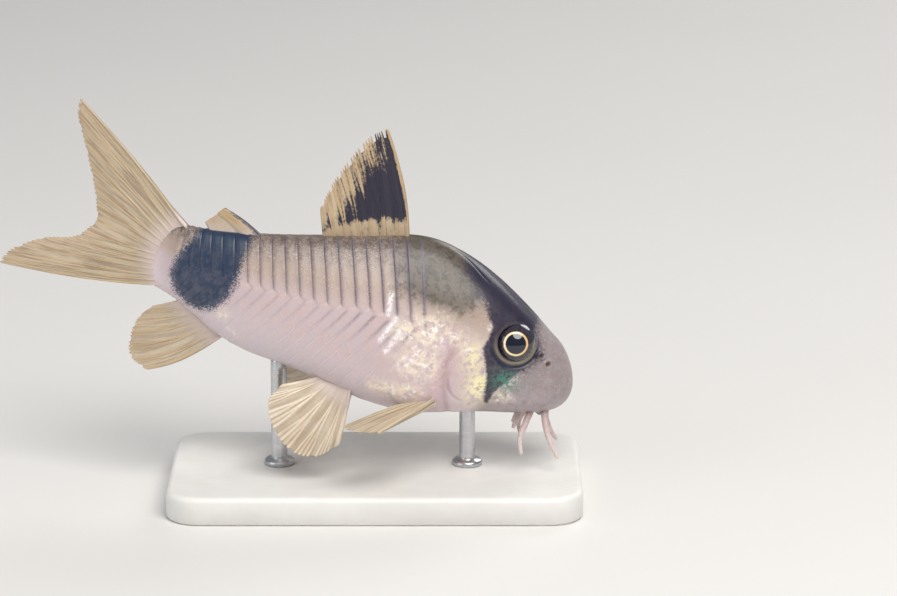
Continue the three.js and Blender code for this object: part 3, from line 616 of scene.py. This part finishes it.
def build_skin(colours):
    nodes = "head", "torso", "tail_stock", "gill_cover_left", "gill_cover_right"
    rings, values = skin_points()
    piece("skin", rings, skin_material(colours), nodes, values)


# Eyes
IRIS_RISE = 0.02


def build_eyes(sizes, colours):
    material = eye_material(sizes, colours)
    radius, turn = EYE["radius"], turns(96)[None, :]
    front_rings, rear_rings = np.linspace(0.01, 1.2, 90), np.linspace(1.25, math.pi - 0.02, 40)
    polar = np.concatenate([front_rings, rear_rings])[:, None]
    front = np.cos(polar) > 0
    reach = radius * np.sin(polar)
    lift = radius * EYE["flat"] * np.cos(polar) + IRIS_RISE * hump(reach, sizes.iris_ring / MM, 0.12) * front
    values = {"reach": np.where(front, reach, radius) + 0 * turn, "high": np.sin(turn) + 0 * reach,
              "ahead": np.cos(turn) + 0 * reach}
    for name, side in SIDES:
        centre, outward, forward, up = eye_frame(side)
        around = forward * np.cos(turn)[..., None] + up * np.sin(turn)[..., None]
        rings = centre + around * reach[..., None] + outward * lift[..., None]
        piece(f"eye_{name}_ball", rings, material, [f"eye_{name}"], values)


def eye_material(sizes, colours):
    made = Finish("wet_eye", Roughness=0.12, Coat_Weight=1.0, Coat_Roughness=0.02, IOR=1.38)
    pupil, ring = sizes.pupil / MM, sizes.iris_ring / MM
    reach, fine = made.value("reach"), made.noise(6.0)
    iris = made.cloudy(fine, colours["iris"], colours["iris_warm"])
    rim = made.cloudy(made.value("ahead"), colours["ring"], colours["ring_deep"], -0.4, 0.9)
    outer = made.cloudy(made.value("high"), colours["orbit"], colours["iris"], -0.5, 0.4)
    colour = made.cloudy(made.shaken(reach, fine, 0.12), iris, outer, 1.45, 1.62)
    colour = made.cloudy(reach, rim, colour, ring + 0.03, ring + 0.13)
    colour = made.cloudy(reach, colours["pupil"], colour, pupil - 0.02, pupil + 0.06)
    return made.finish(Base_Color=colour, Normal=made.bump(fine, 0.01, 0.2))


# Fins, whose rays split in two and then in four at these shares of their length
SPLIT, SPLIT_AGAIN = (0.3, 0.5), (0.62, 0.8)
COLUMNS_PER_RAY = 26
RAY_JOINT = 0.42


def cap(x):
    return np.sqrt(np.clip(1 - x * x, 0, 1))


def ray_columns(rays, out):
    """Columns across a fin: their count of rays, their share of the way, the ray's rise, and if they lead.
    Columns run together along each ray's stem and spread out where it branches."""
    across = np.linspace(0, rays - 1, (rays - 1) * COLUMNS_PER_RAY + 1)[:, None]
    own = np.round(across)
    leading, v = own == 0, across - own
    stem = mix(0.17, 0.4, smooth(out, 0.2, 1.0))
    beyond = np.sign(v) * (stem + (np.abs(v) - 0.4) * (0.5 - stem) / 0.1)
    w = np.where(leading, v, np.where(np.abs(v) <= 0.4, v * stem / 0.4, beyond))
    one = cap(v / 0.38)
    two = cap((np.abs(v) - 0.2) / 0.15)
    four = cap((np.abs(np.abs(v) - 0.2) - 0.1) / 0.07)
    rise = mix(mix(one, two, smooth(out, *SPLIT)), four, smooth(out, *SPLIT_AGAIN))
    rise = np.where(leading, cap((v - 0.2) / 0.2), rise)
    rise = np.where(own == rays - 1, cap((v + 0.15) / 0.15), rise)
    return across, np.clip((own + w) / (rays - 1), 0, 1), rise, leading


def build_fin(sizes, material, node, fin, side=1):
    """A fin's membrane with its rays, mirrored to the right where the side is -1"""
    rays, spine, rows = fin["rays"], fin["spine"], fin.get("rows", 90)
    web, ray = sizes.membrane / MM, sizes.ray / MM * fin.get("fineness", 1)
    out = np.linspace(0, 1, rows)[None, :] ** 0.9
    across, t, form, leading = ray_columns(rays, out)
    reach = out * (1 - fin.get("notch", 0.02) * (1 - form) * smooth(out, 0.5, 1))
    mirror = np.array((1, side, 1))
    start, end = fin["base"](t) * mirror, fin["edge"](t) * mirror
    line = start + (end - start) * reach[..., None]
    arch = np.sin(np.pi * reach)
    ways = {"lead": arch * (1 - t), "arch": arch, "curl": reach**2, "wave": reach**2 * np.sin(np.pi * t)}
    for key, way in fin["bends"].items():
        line = line + ways[key][..., None] * way * mirror
    middle = place(line[..., 0], line[..., 1], line[..., 2])
    normal = unit(np.cross(np.gradient(middle, axis=1), np.gradient(middle, axis=0)))
    length = np.linalg.norm(end - start, axis=-1) * reach
    grown = smooth(length, 0.6, 3.2)
    thick = np.where(leading, mix(spine, spine * 0.4, out), mix(ray, ray * 0.28, out))
    sunk = np.where(leading, 1, mix(0.1, 1, grown))
    half = web * mix(1, 0.5, out) + np.maximum(thick - web, 0) * form * sunk
    ends = smooth(across, 0, 0.06) * smooth(across, rays - 1, rays - 1.06) * 0.9 + 0.1
    half = half * ends + fin["sheath"] * smooth(length, 3.0, 0.6) * np.sqrt(ends)
    offset = normal * half[..., None]
    rings = np.concatenate([middle + offset, (middle - offset)[:, ::-1]], 1)
    dark = fin["shade"](t, out) if "shade" in fin else 0 * t - 1
    values = {"ray": form * grown, "out": length, "across": across + 0 * out, "dark": dark}
    values = {key: np.concatenate([v, v[:, ::-1]], 1) for key, v in values.items()}
    piece(f"{node}_membrane", rings, material, [node], values)


def fin_material(name, colours, membrane, ray, clear, streaks, rays=0.85, root="fin_root"):
    """A membrane with rays, some brown streaks, a dark blotch and flesh at the root.
    Membrane, ray and root name colours; clear is the membrane's opacity, the others are strengths."""
    made = Finish(name, Subsurface_Weight=0.08, Subsurface_Scale=0.0003, Coat_Weight=0.15,
                  Coat_Roughness=0.2)
    out, stem = made.value("out"), made.value("ray")
    long = made.node("CombineXYZ", {0: made.times(made.value("across"), 5.0), 1: made.times(out, 0.25)}, 0)
    streak = made.noise(1.0, 3, 0.6, long)
    joints = made.math("SINE", made.times(out, 2 * math.pi / RAY_JOINT), 0)
    tone = made.cloudy(streak, colours[membrane], colours["fin_shade"], 0.3, 0.7)
    dotted = made.times(stem, made.band(joints, -0.9, 0.4, 0.82, 1.0))
    made.colour = made.blend(made.times(dotted, rays), tone, colours[ray])
    brown = made.times(made.band(streak, 0.48, 0.62), made.band(out, 1.5, 4.0))
    made.lay(brown, streaks, colours["fin_ray"])
    dark = made.math("SUBTRACT", made.shaken(made.value("dark"), streak, 1.5), made.times(stem, 0.2))
    dark = made.band(made.shaken(dark, made.noise(4.0), 0.7), 0.28, 0.62)
    flesh = made.band(out, 0.6, 3.2, 1.0, 0.0)
    made.lay(flesh, 0.75, colours[root])
    made.lay(dark, 0.97, colours["fin_dark"])
    solid = made.math("MAXIMUM", made.times(stem, 0.9), made.times(dark, 0.95))
    solid = made.math("MAXIMUM", solid, flesh)
    normal = made.bump(streak, 0.03, 0.3, made.bump(joints, 0.012, 0.2))
    rough, opaque = made.band(streak, 0.2, 0.8, 0.32, 0.5), made.band(solid, 0.0, 1.0, clear, 1.0)
    return made.finish(Base_Color=made.colour, Roughness=rough, Normal=normal, Alpha=opaque)


def dorsal_blotch(t, out):
    """Darkest low down behind the spine, thinner towards the tip and the rear, with specks at the root"""
    core = smooth(out - 0.12 * t, 0.2, 0.33) * smooth(t, 0.0, 0.05) * mix(1.15, 0.45, smooth(t, 0.25, 0.85))
    core = core * mix(1, mix(0.72, 0.45, smooth(t, 0, 0.3)), smooth(out, 0.45, 0.85))
    return core + 0.26 * smooth(out, 0.34, 0.22)


def adipose_blotch(t, out):
    """Dark along the spine"""
    return mix(0.75, -0.4, smooth(t, 0.02, 0.3)) * (1 - 0.4 * smooth(out, 0.6, 1.0))


def lobe(side, root, tip, shoulder):
    """A lobe of the tail fin, upwards or down, with half the height of its root"""
    blunt, waist = (tip[0] - 0.15, 0, tip[2] - 1.1 * side), (46.0, 0, 0.1 + 2.2 * side)

    def base(t):
        level = 0.55 + side * mix(root, -0.1, t)
        return np.stack([mix(36.3, 37.7, np.sin(t * np.pi / 2)), 0 * t, level], -1)

    return {"base": base, "edge": through((tip, blunt, shoulder, waist, (44.7, 0, 0.1 - 0.1 * side))),
            "bends": {"curl": (0, 0.6, 0), "lead": (0, 0, 0.35 * side)}, "rays": 8, "spine": 0.3,
            "sheath": 0.22}


# Colours of each fin's membrane and rays, its opacity, and the strength of its streaks and of its rays
FIN_LOOKS = {
    "dorsal": ("fin", "fin_tan", 0.8, 0.5, 0.85, "fin_ray"),
    "adipose": ("fin", "fin_tan", 0.75, 0.4),
    "tail": ("fin", "fin_tan", 0.72, 0.55, 0.5),
    "anal": ("fin", "fin_tan", 0.62, 0.35, 0.5),
    "pelvic": ("fin_pale", "fin_cream", 0.66, 0.15, 0.55),
    "pectoral": ("fin", "fin_pale", 0.75, 0.35, 0.7),
}

# Fins with their base line, outer edge, bends, radius of the spine and thickness of flesh at the root.
# The shade gives how dark a fin is, from the ray share and the reach.
FINS = {
    "dorsal_fin": {
        "base": through(((17.1, 0, 7.6), (24.3, 0, 5.6))),
        "edge": through(((21.9, 0, 17.4), (23.2, 0.05, 16.2), (24.4, 0.15, 13.6), (25.2, 0.2, 11.2),
                         (25.6, 0.1, 8.8))),
        "rays": 8, "spine": 0.25, "sheath": 0.25, "notch": 0.06, "slot": "dark_fin", "shade": dorsal_blotch,
        "bends": {"lead": (-0.55, 0, 0), "wave": (0, 0.35, 0)}},
    "adipose_fin": {
        "base": through(((28.6, 0, 4.4), (33.6, 0, 3.2))),
        "edge": through(((33.6, 0, 6.35), (35.0, 0, 4.5))),
        "rays": 2, "spine": 0.36, "sheath": 0.12, "fineness": 0.8, "rows": 70, "shade": adipose_blotch,
        "bends": {"lead": (0, 0, 0.28)}},
    "tail_fin_upper": lobe(1, 3.0, (50.6, 0, 9.2), (48.2, 0, 5.2)),
    "tail_fin_lower": lobe(-1, 2.5, (51.5, 0, -7.8), (48.9, 0, -3.9)),
    "anal_fin": {
        "base": through(((30.2, 0, -4.3), (34.4, 0, -2.4))),
        "edge": through(((35.9, 0, -9.9), (37.4, 0, -9.3), (38.0, 0.1, -7.2), (37.8, 0.1, -5.6),
                         (37.0, 0, -4.2))),
        "rays": 7, "spine": 0.26, "sheath": 0.22,
        "bends": {"curl": (0, -0.25, 0), "lead": (0, 0, -0.5)}},
}
PAIRED_FINS = {
    "pelvic": {
        "base": through(((18.6, 2.9, -4.4), (20.7, 1.6, -4.6))),
        "edge": through(((18.3, 4.6, -9.6), (19.9, 5.2, -11.1), (22.0, 5.4, -11.3), (24.0, 5.1, -9.9),
                         (25.1, 4.2, -7.9), (24.4, 3.2, -6.3))),
        "rays": 7, "spine": 0.26, "sheath": 0.2, "fineness": 0.7,
        "bends": {"arch": (0, 0.35, 0), "lead": (0, 0, -0.3)}},
    "pectoral": {
        "base": through(((10.9, 3.7, -3.3), (12.6, 3.3, -4.3))),
        "edge": through(((15.6, 10.3, -6.0), (17.4, 10.2, -6.5), (18.6, 8.9, -6.9), (18.3, 7.2, -7.0),
                         (17.0, 5.9, -6.9))),
        "rays": 8, "spine": 0.45, "sheath": 0.15,
        "bends": {"arch": (0, 0, 0.4), "lead": (-0.45, 0, 0)}},
}


def build_fins(sizes, colours):
    looks = {kind: fin_material(f"{kind}_membrane", colours, *look) for kind, look in FIN_LOOKS.items()}
    for node, fin in FINS.items():
        build_fin(sizes, looks[node.split("_")[0]], node, fin)
    for name, side in SIDES:
        for kind, fin in PAIRED_FINS.items():
            build_fin(sizes, looks[kind], f"{kind}_fin_{name}", fin, side)


# Barbels, each as its path, radius at the root and radius at the tip
BARBELS = {
    "upper": (((2.0, 0.9, -2.0), (1.5, 1.9, -3.6), (0.7, 2.5, -4.9), (-0.4, 2.8, -6.1)), 0.4, 0.15),
    "lower": (((2.9, 1.0, -2.1), (3.2, 2.1, -4.1), (3.3, 2.7, -5.4), (2.8, 3.1, -6.6)), 0.37, 0.15),
    "chin": (((3.6, 0.5, -2.3), (3.9, 0.75, -4.1), (4.0, 0.95, -5.1)), 0.33, 0.16),
}
BARBEL_RINGS, BARBEL_SIDES = 90, 20


def build_barbels(colours):
    made = Finish("feeler_flesh", Subsurface_Weight=0.25, Subsurface_Scale=0.0005, Coat_Weight=0.25,
                  Coat_Roughness=0.15)
    fine = made.noise(5.0)
    colour = made.cloudy(made.value("share"), colours["lips"], colours["barbel"], 0.1, 0.9)
    colour = made.blend(made.band(fine, 0.35, 0.8, 0.0, 0.35), colour, colours["snout"])
    material = made.finish(Base_Color=colour, Roughness=made.band(fine, 0.2, 0.8, 0.3, 0.5),
                           Normal=made.bump(made.noise(11.0), 0.03, 0.4))
    share = np.linspace(0, 1, BARBEL_RINGS)
    taper = cap(smooth(share, 0.93, 1.0) * 0.97) * (1 + 0.02 * np.sin(share * 70))
    turn = turns(BARBEL_SIDES)[None, :, None]
    for name, side in SIDES:
        for which, (path, root, tip) in BARBELS.items():
            centres = through([place(s, side * y, h) for s, y, h in path])(share)
            ahead = unit(np.gradient(centres, axis=0))
            across = unit(np.cross(ahead, (1.0, 0.0, 0.0)))
            around = across[:, None] * np.cos(turn) + np.cross(ahead, across)[:, None] * np.sin(turn)
            rings = centres[:, None] + around * (mix(root, tip, share**0.8) * taper)[:, None, None]
            node = f"barbel_{which}_{name}"
            values = {"share": np.repeat(share[:, None], BARBEL_SIDES, 1)}
            piece(f"{node}_flesh", rings, material, [node], values)


# Stand, with the distances of its rods from the snout
BASE = {"long": 36.0, "wide": 20.0, "thick": 2.5, "corner": 3.0, "bevel": 0.25}
BASE_TOP_RINGS = 1.6, 2.6, 4.5, 7.0, 9.0
RODS = {"stand_rod_front": 8.6, "stand_rod_rear": 25.6}

# Places up a rod from the base, or down from its tip, each with its share of the rod's radius
ROD_FOOT = (0.0, 1.9), (0.35, 1.9), (0.5, 1.7), (0.55, 1.0)
ROD_TIP = (0.2, 0.92), (0.05, 0.7), (0.0, 0.3)
ROD_RINGS, ROD_SIDES = 12, 40


def base_ring(inset, z):
    """A rectangle with round corners, as far inside the base's outline as the inset"""
    corner = max(BASE["corner"] - inset, 0.4)
    turn = np.linspace(0, math.pi / 2, 24)
    sides = []
    for k, (x, y) in enumerate(((1, 1), (-1, 1), (-1, -1), (1, -1))):
        a = turn + k * math.pi / 2
        across = x * (BASE["long"] / 2 - inset - corner) + corner * np.cos(a)
        deep = y * (BASE["wide"] / 2 - inset - corner) + corner * np.sin(a)
        sides.append(np.stack([across, deep, 0 * a + z], -1))
    return np.concatenate(sides)


def build_stand(sizes, colours):
    edge, top = sizes.base_edge / MM, BASE["thick"]
    shapes = [(BASE["bevel"], 0.0), (0.0, BASE["bevel"])]
    for turn in np.linspace(0, math.pi / 2, 9):
        shapes.append((edge * (1 - math.cos(turn)), top - edge * (1 - math.sin(turn))))
    shapes += [(inset, top) for inset in BASE_TOP_RINGS]
    made = Finish("satin_base")
    grain = made.noise(9.0, 2)
    colour = made.cloudy(made.noise(0.25), colours["stand"], colours["stand_shade"], 0.3, 0.7)
    material = made.finish(Base_Color=colour, Roughness=made.band(grain, 0.3, 0.7, 0.4, 0.55),
                           Normal=made.bump(grain, 0.02, 0.25))
    piece("stand_base_board", [base_ring(*shape) for shape in shapes], material, ["stand_base"])
    made = Finish("brushed_rod", Metallic=1.0)
    turned = made.noise(1.0, 2, 0.5, made.vector("MULTIPLY", made.millimetres, (0.25, 0.25, 9.0)))
    steel = made.finish(Base_Color=made.blend(turned, colours["rod"], colours["rod_shade"]),
                        Roughness=made.band(turned, 0.3, 0.7, 0.26, 0.36))
    turn = turns(ROD_SIDES)
    for node, s in RODS.items():
        bottom = section(np.array(s))[1]
        foot, tip = place(s, 0, bottom + 1.0), place(s, 0, bottom)[2] + 0.35
        rings = [(top + rise, share) for rise, share in ROD_FOOT]
        rings += [(z, 1.0) for z in np.linspace(top + 0.7, tip - 0.4, ROD_RINGS)]
        rings += [(tip - drop, share) for drop, share in ROD_TIP]
        z, share = np.array(rings).T[..., None]
        reach = sizes.rod / MM * share
        rings = np.stack([foot[0] + reach * np.cos(turn), foot[1] + reach * np.sin(turn), z + 0 * turn], -1)
        piece(f"{node}_steel", rings, steel, [node])


# Stage, with the camera in millimetres and the lamps as place and size in metres and tint
CAMERA = {"target": (6.39, 0.0, 17.6), "distance": 330.0, "elevation": 15.0, "lens": 152.3, "sensor": 36.0}
LAMPS = {
    "key": ((0.1, -0.24, 0.36), 0.34, (1.0, 0.97, 0.93)),
    "fill": ((-0.34, -0.2, 0.16), 0.3, (0.93, 0.96, 1.0)),
    "rim": ((0.22, 0.3, 0.26), 0.22, (1.0, 0.98, 0.95)),
}
FLOOR_RADIUS = 3.0
AIR_TINT = 0.93, 0.95, 1.0, 1


def stand_up(name, data, where, target):
    """A lamp or a camera at a place, turned to its target"""
    thing = add(name, data)
    thing.location = where
    thing.rotation_euler = (target - thing.location).to_track_quat("-Z", "Y").to_euler()
    return thing


def build_stage(studio):
    scene = bpy.context.scene
    floor_mesh = bpy.data.meshes.new("floor")
    turn = turns(96)
    rim = np.stack([np.cos(turn), np.sin(turn), 0 * turn], -1) * FLOOR_RADIUS
    floor_mesh.from_pydata(rim.tolist(), [], [range(len(rim))])
    made = Finish("pale_floor", Roughness=0.6)
    pale = tuple(studio.floor)
    colour = made.blend(made.noise(0.02, 2), pale, tuple(0.96 * c for c in pale))
    normal = made.bump(made.noise(1.5, 2), 0.02, 0.1)
    floor_mesh.materials.append(made.finish(Base_Color=colour, Normal=normal))
    add("studio_floor", floor_mesh)
    target = Vector(CAMERA["target"]) * MM
    for name, (where, size, colour) in LAMPS.items():
        light = bpy.data.lights.new(f"{name}_lamp", "AREA")
        light.shape, light.size, light.energy, light.color = "DISK", size, getattr(studio, name), colour
        stand_up(f"{name}_lamp", light, where, target)
    scene.world = bpy.data.worlds.new("studio_air")
    scene.world.use_nodes = True
    background = scene.world.node_tree.nodes["Background"]
    background.inputs["Color"].default_value = AIR_TINT
    background.inputs["Strength"].default_value = studio.air
    lens = bpy.data.cameras.new("photo_camera")
    lens.lens, lens.sensor_width, lens.sensor_fit = CAMERA["lens"], CAMERA["sensor"], "HORIZONTAL"
    lens.clip_start, lens.clip_end = 0.01, 20
    rise = math.radians(CAMERA["elevation"])
    where = target + Vector((0, -math.cos(rise), math.sin(rise))) * CAMERA["distance"] * MM
    scene.camera = stand_up("photo_camera", lens, where, target)
    scene.view_settings.view_transform = "Standard"


# Settings
def length(name, default):
    return FloatProperty(name=name, description=f"{name}, in metres", default=default, min=0,
                         unit="LENGTH", precision=5)


def power(name, default):
    return FloatProperty(name=name, description=f"Power of the {name.lower()}", default=default,
                         unit="POWER")


def tint(name, default):
    return FloatVectorProperty(name=name, description=f"Colour: {name.lower()}", default=default,
                               min=0, max=1, subtype="COLOR")


class CatfishSizes(bpy.types.PropertyGroup):
    """Fine sizes of the model"""
    pupil: length("Radius of the eye's black pupil", 0.00087)
    iris_ring: length("Radius of the bright ring round the pupil", 0.00098)
    membrane: length("Half the thickness of a fin between its rays", 0.00007)
    ray: length("Radius of a fin ray where it leaves the body", 0.0002)
    base_edge: length("Rounding of the display base's upper edge", 0.0005)
    rod: length("Radius of the two rods under the body", 0.0007)


class CatfishColours(bpy.types.PropertyGroup):
    """Colours of the skin, fins, eyes and stand"""
    flank: tint("Lower flank", (0.54, 0.445, 0.465))
    flush: tint("Rosy patches of the flank", (0.56, 0.43, 0.44))
    upper: tint("Plates of the upper flank", (0.39, 0.3, 0.27))
    upper_warm: tint("Warm patches of the plates", (0.42, 0.32, 0.25))
    belly: tint("Underside", (0.66, 0.57, 0.61))
    nape: tint("Olive grey of the nape", (0.085, 0.072, 0.05))
    snout: tint("Mauve grey of the snout", (0.27, 0.215, 0.215))
    # Painted highlight on the middle of each plate
    sheen: tint("Pale middle of each plate", (0.54, 0.45, 0.42))
    blush: tint("Pink fold behind the gill cover", (0.5, 0.34, 0.39))
    snout_cool: tint("Cooler patches of the snout", (0.32, 0.275, 0.29))
    cheek: tint("Paler underside of the snout", (0.42, 0.35, 0.38))
    back: tint("Mauve brown of the back", (0.1, 0.075, 0.062))
    lines: tint("Lines along the plates' edges", (0.12, 0.1, 0.14))
    freckle: tint("Small dark spots on the back", (0.05, 0.04, 0.035))
    mask: tint("Blue black of the mask", (0.006, 0.005, 0.03))
    blotch: tint("Slate blue of the tail blotch", (0.001, 0.022, 0.064))
    gold: tint("Pale gold of the gill cover", (0.88, 0.8, 0.48))
    # Cream skin brightened with painted highlight
    pearl: tint("Cream sheen behind the gill", (0.92, 0.82, 0.62))
    # Painted glints: wet highlights painted as white streaks
    streak: tint("Wet streaks of the front plates", (0.95, 0.93, 0.95))
    green: tint("Green sheen below the eye", (0.06, 0.22, 0.16))
    orbit: tint("Olive fold round the eye", (0.25, 0.22, 0.15))
    lips: tint("Lips and roots of the barbels", (0.52, 0.4, 0.39))
    # Painted shade of the mouth, the nostrils and the gill fold
    hollow: tint("Inside of the mouth and nostrils", (0.2, 0.09, 0.08))
    barbel: tint("Pale flesh of the barbels", (0.68, 0.58, 0.55))
    pupil: tint("Pupil", (0.003, 0.005, 0.018))
    ring: tint("Bright ring round the pupil", (0.95, 0.8, 0.5))
    ring_deep: tint("Deeper part of the ring", (0.75, 0.5, 0.25))
    iris: tint("Dark iris outside the ring", (0.006, 0.009, 0.035))
    iris_warm: tint("Brown flecks of the iris", (0.05, 0.035, 0.03))
    fin: tint("Straw membrane of the fins", (0.6, 0.49, 0.33))
    fin_shade: tint("Darker streaks of the fins", (0.48, 0.37, 0.24))
    fin_ray: tint("Brown streaks between the rays", (0.27, 0.18, 0.11))
    fin_tan: tint("Tan rays of the unpaired fins", (0.45, 0.31, 0.16))
    fin_root: tint("Flesh where a fin leaves the body", (0.56, 0.465, 0.455))
    fin_pale: tint("Pale membrane of the paired fins", (0.62, 0.53, 0.41))
    fin_cream: tint("Cream rays of the paired fins", (0.78, 0.68, 0.54))
    fin_dark: tint("Black blotch of the dorsal fin", (0.002, 0.003, 0.026))
    stand: tint("Display base", (0.8, 0.79, 0.76))
    stand_shade: tint("Darker clouding of the base", (0.74, 0.73, 0.7))
    rod: tint("Steel of the rods", (0.66, 0.67, 0.69))
    rod_shade: tint("Turning marks of the rods", (0.5, 0.51, 0.53))


class CatfishStudio(bpy.types.PropertyGroup):
    """Light and floor round the model"""
    key: power("Main lamp", 1.95)
    fill: power("Side lamp", 0.35)
    rim: power("Rear lamp", 0.5)
    air: FloatProperty(name="Air", description="Strength of the light from all round", default=0.29)
    floor: tint("Pale studio floor", (0.78, 0.77, 0.75))


def colour_table():
    """The set colours as plain tuples, by name"""
    chosen = bpy.context.scene.catfish_colours
    return {key: tuple(getattr(chosen, key)) for key in CatfishColours.__annotations__}


class CATFISH_OT_skin(bpy.types.Operator):
    """Make the armoured skin with its plates, gill covers, mouth and markings"""
    bl_idname = "catfish.skin"
    bl_label = "Skin"

    def execute(self, context):
        build_skin(colour_table())
        return {"FINISHED"}


class CATFISH_OT_eyes(bpy.types.Operator):
    """Make the two eyes"""
    bl_idname = "catfish.eyes"
    bl_label = "Eyes"

    def execute(self, context):
        build_eyes(context.scene.catfish_sizes, colour_table())
        return {"FINISHED"}


class CATFISH_OT_fins(bpy.types.Operator):
    """Make the dorsal, adipose, tail, anal, pelvic and pectoral fins"""
    bl_idname = "catfish.fins"
    bl_label = "Fins"

    def execute(self, context):
        build_fins(context.scene.catfish_sizes, colour_table())
        return {"FINISHED"}


class CATFISH_OT_barbels(bpy.types.Operator):
    """Make the six barbels of the mouth"""
    bl_idname = "catfish.barbels"
    bl_label = "Barbels"

    def execute(self, context):
        build_barbels(colour_table())
        return {"FINISHED"}


class CATFISH_OT_stand(bpy.types.Operator):
    """Make the display base and its two rods"""
    bl_idname = "catfish.stand"
    bl_label = "Display stand"

    def execute(self, context):
        build_stand(context.scene.catfish_sizes, colour_table())
        return {"FINISHED"}


class CATFISH_OT_stage(bpy.types.Operator):
    """Set the floor, the lamps and the camera"""
    bl_idname = "catfish.stage"
    bl_label = "Stage"

    def execute(self, context):
        build_stage(context.scene.catfish_studio)
        return {"FINISHED"}


GROUPS = {"catfish_sizes": CatfishSizes, "catfish_colours": CatfishColours, "catfish_studio": CatfishStudio}
OPERATORS = (CATFISH_OT_stage, CATFISH_OT_skin, CATFISH_OT_eyes, CATFISH_OT_fins, CATFISH_OT_barbels,
             CATFISH_OT_stand)


class CATFISH_PT_panel(bpy.types.Panel):
    """Buttons and settings of the catfish"""
    bl_idname = "CATFISH_PT_panel"
    bl_label = "Corydoras"
    bl_space_type = "VIEW_3D"
    bl_region_type = "UI"
    bl_category = "Catfish"

    def draw(self, context):
        for operator in OPERATORS:
            self.layout.operator(operator.bl_idname)
        for name, group in GROUPS.items():
            box = self.layout.box()
            for key in group.__annotations__:
                box.prop(getattr(context.scene, name), key)


def register():
    for kind in (*GROUPS.values(), *OPERATORS, CATFISH_PT_panel):
        bpy.utils.register_class(kind)
    for name, group in GROUPS.items():
        setattr(bpy.types.Scene, name, PointerProperty(type=group))


def unregister():
    for name in GROUPS:
        delattr(bpy.types.Scene, name)
    for kind in reversed((*GROUPS.values(), *OPERATORS, CATFISH_PT_panel)):
        bpy.utils.unregister_class(kind)


def main():
    register()
    for operator in OPERATORS:
        group, name = operator.bl_idname.split(".")
        getattr(getattr(bpy.ops, group), name)()


if __name__ == "__main__":
    main()
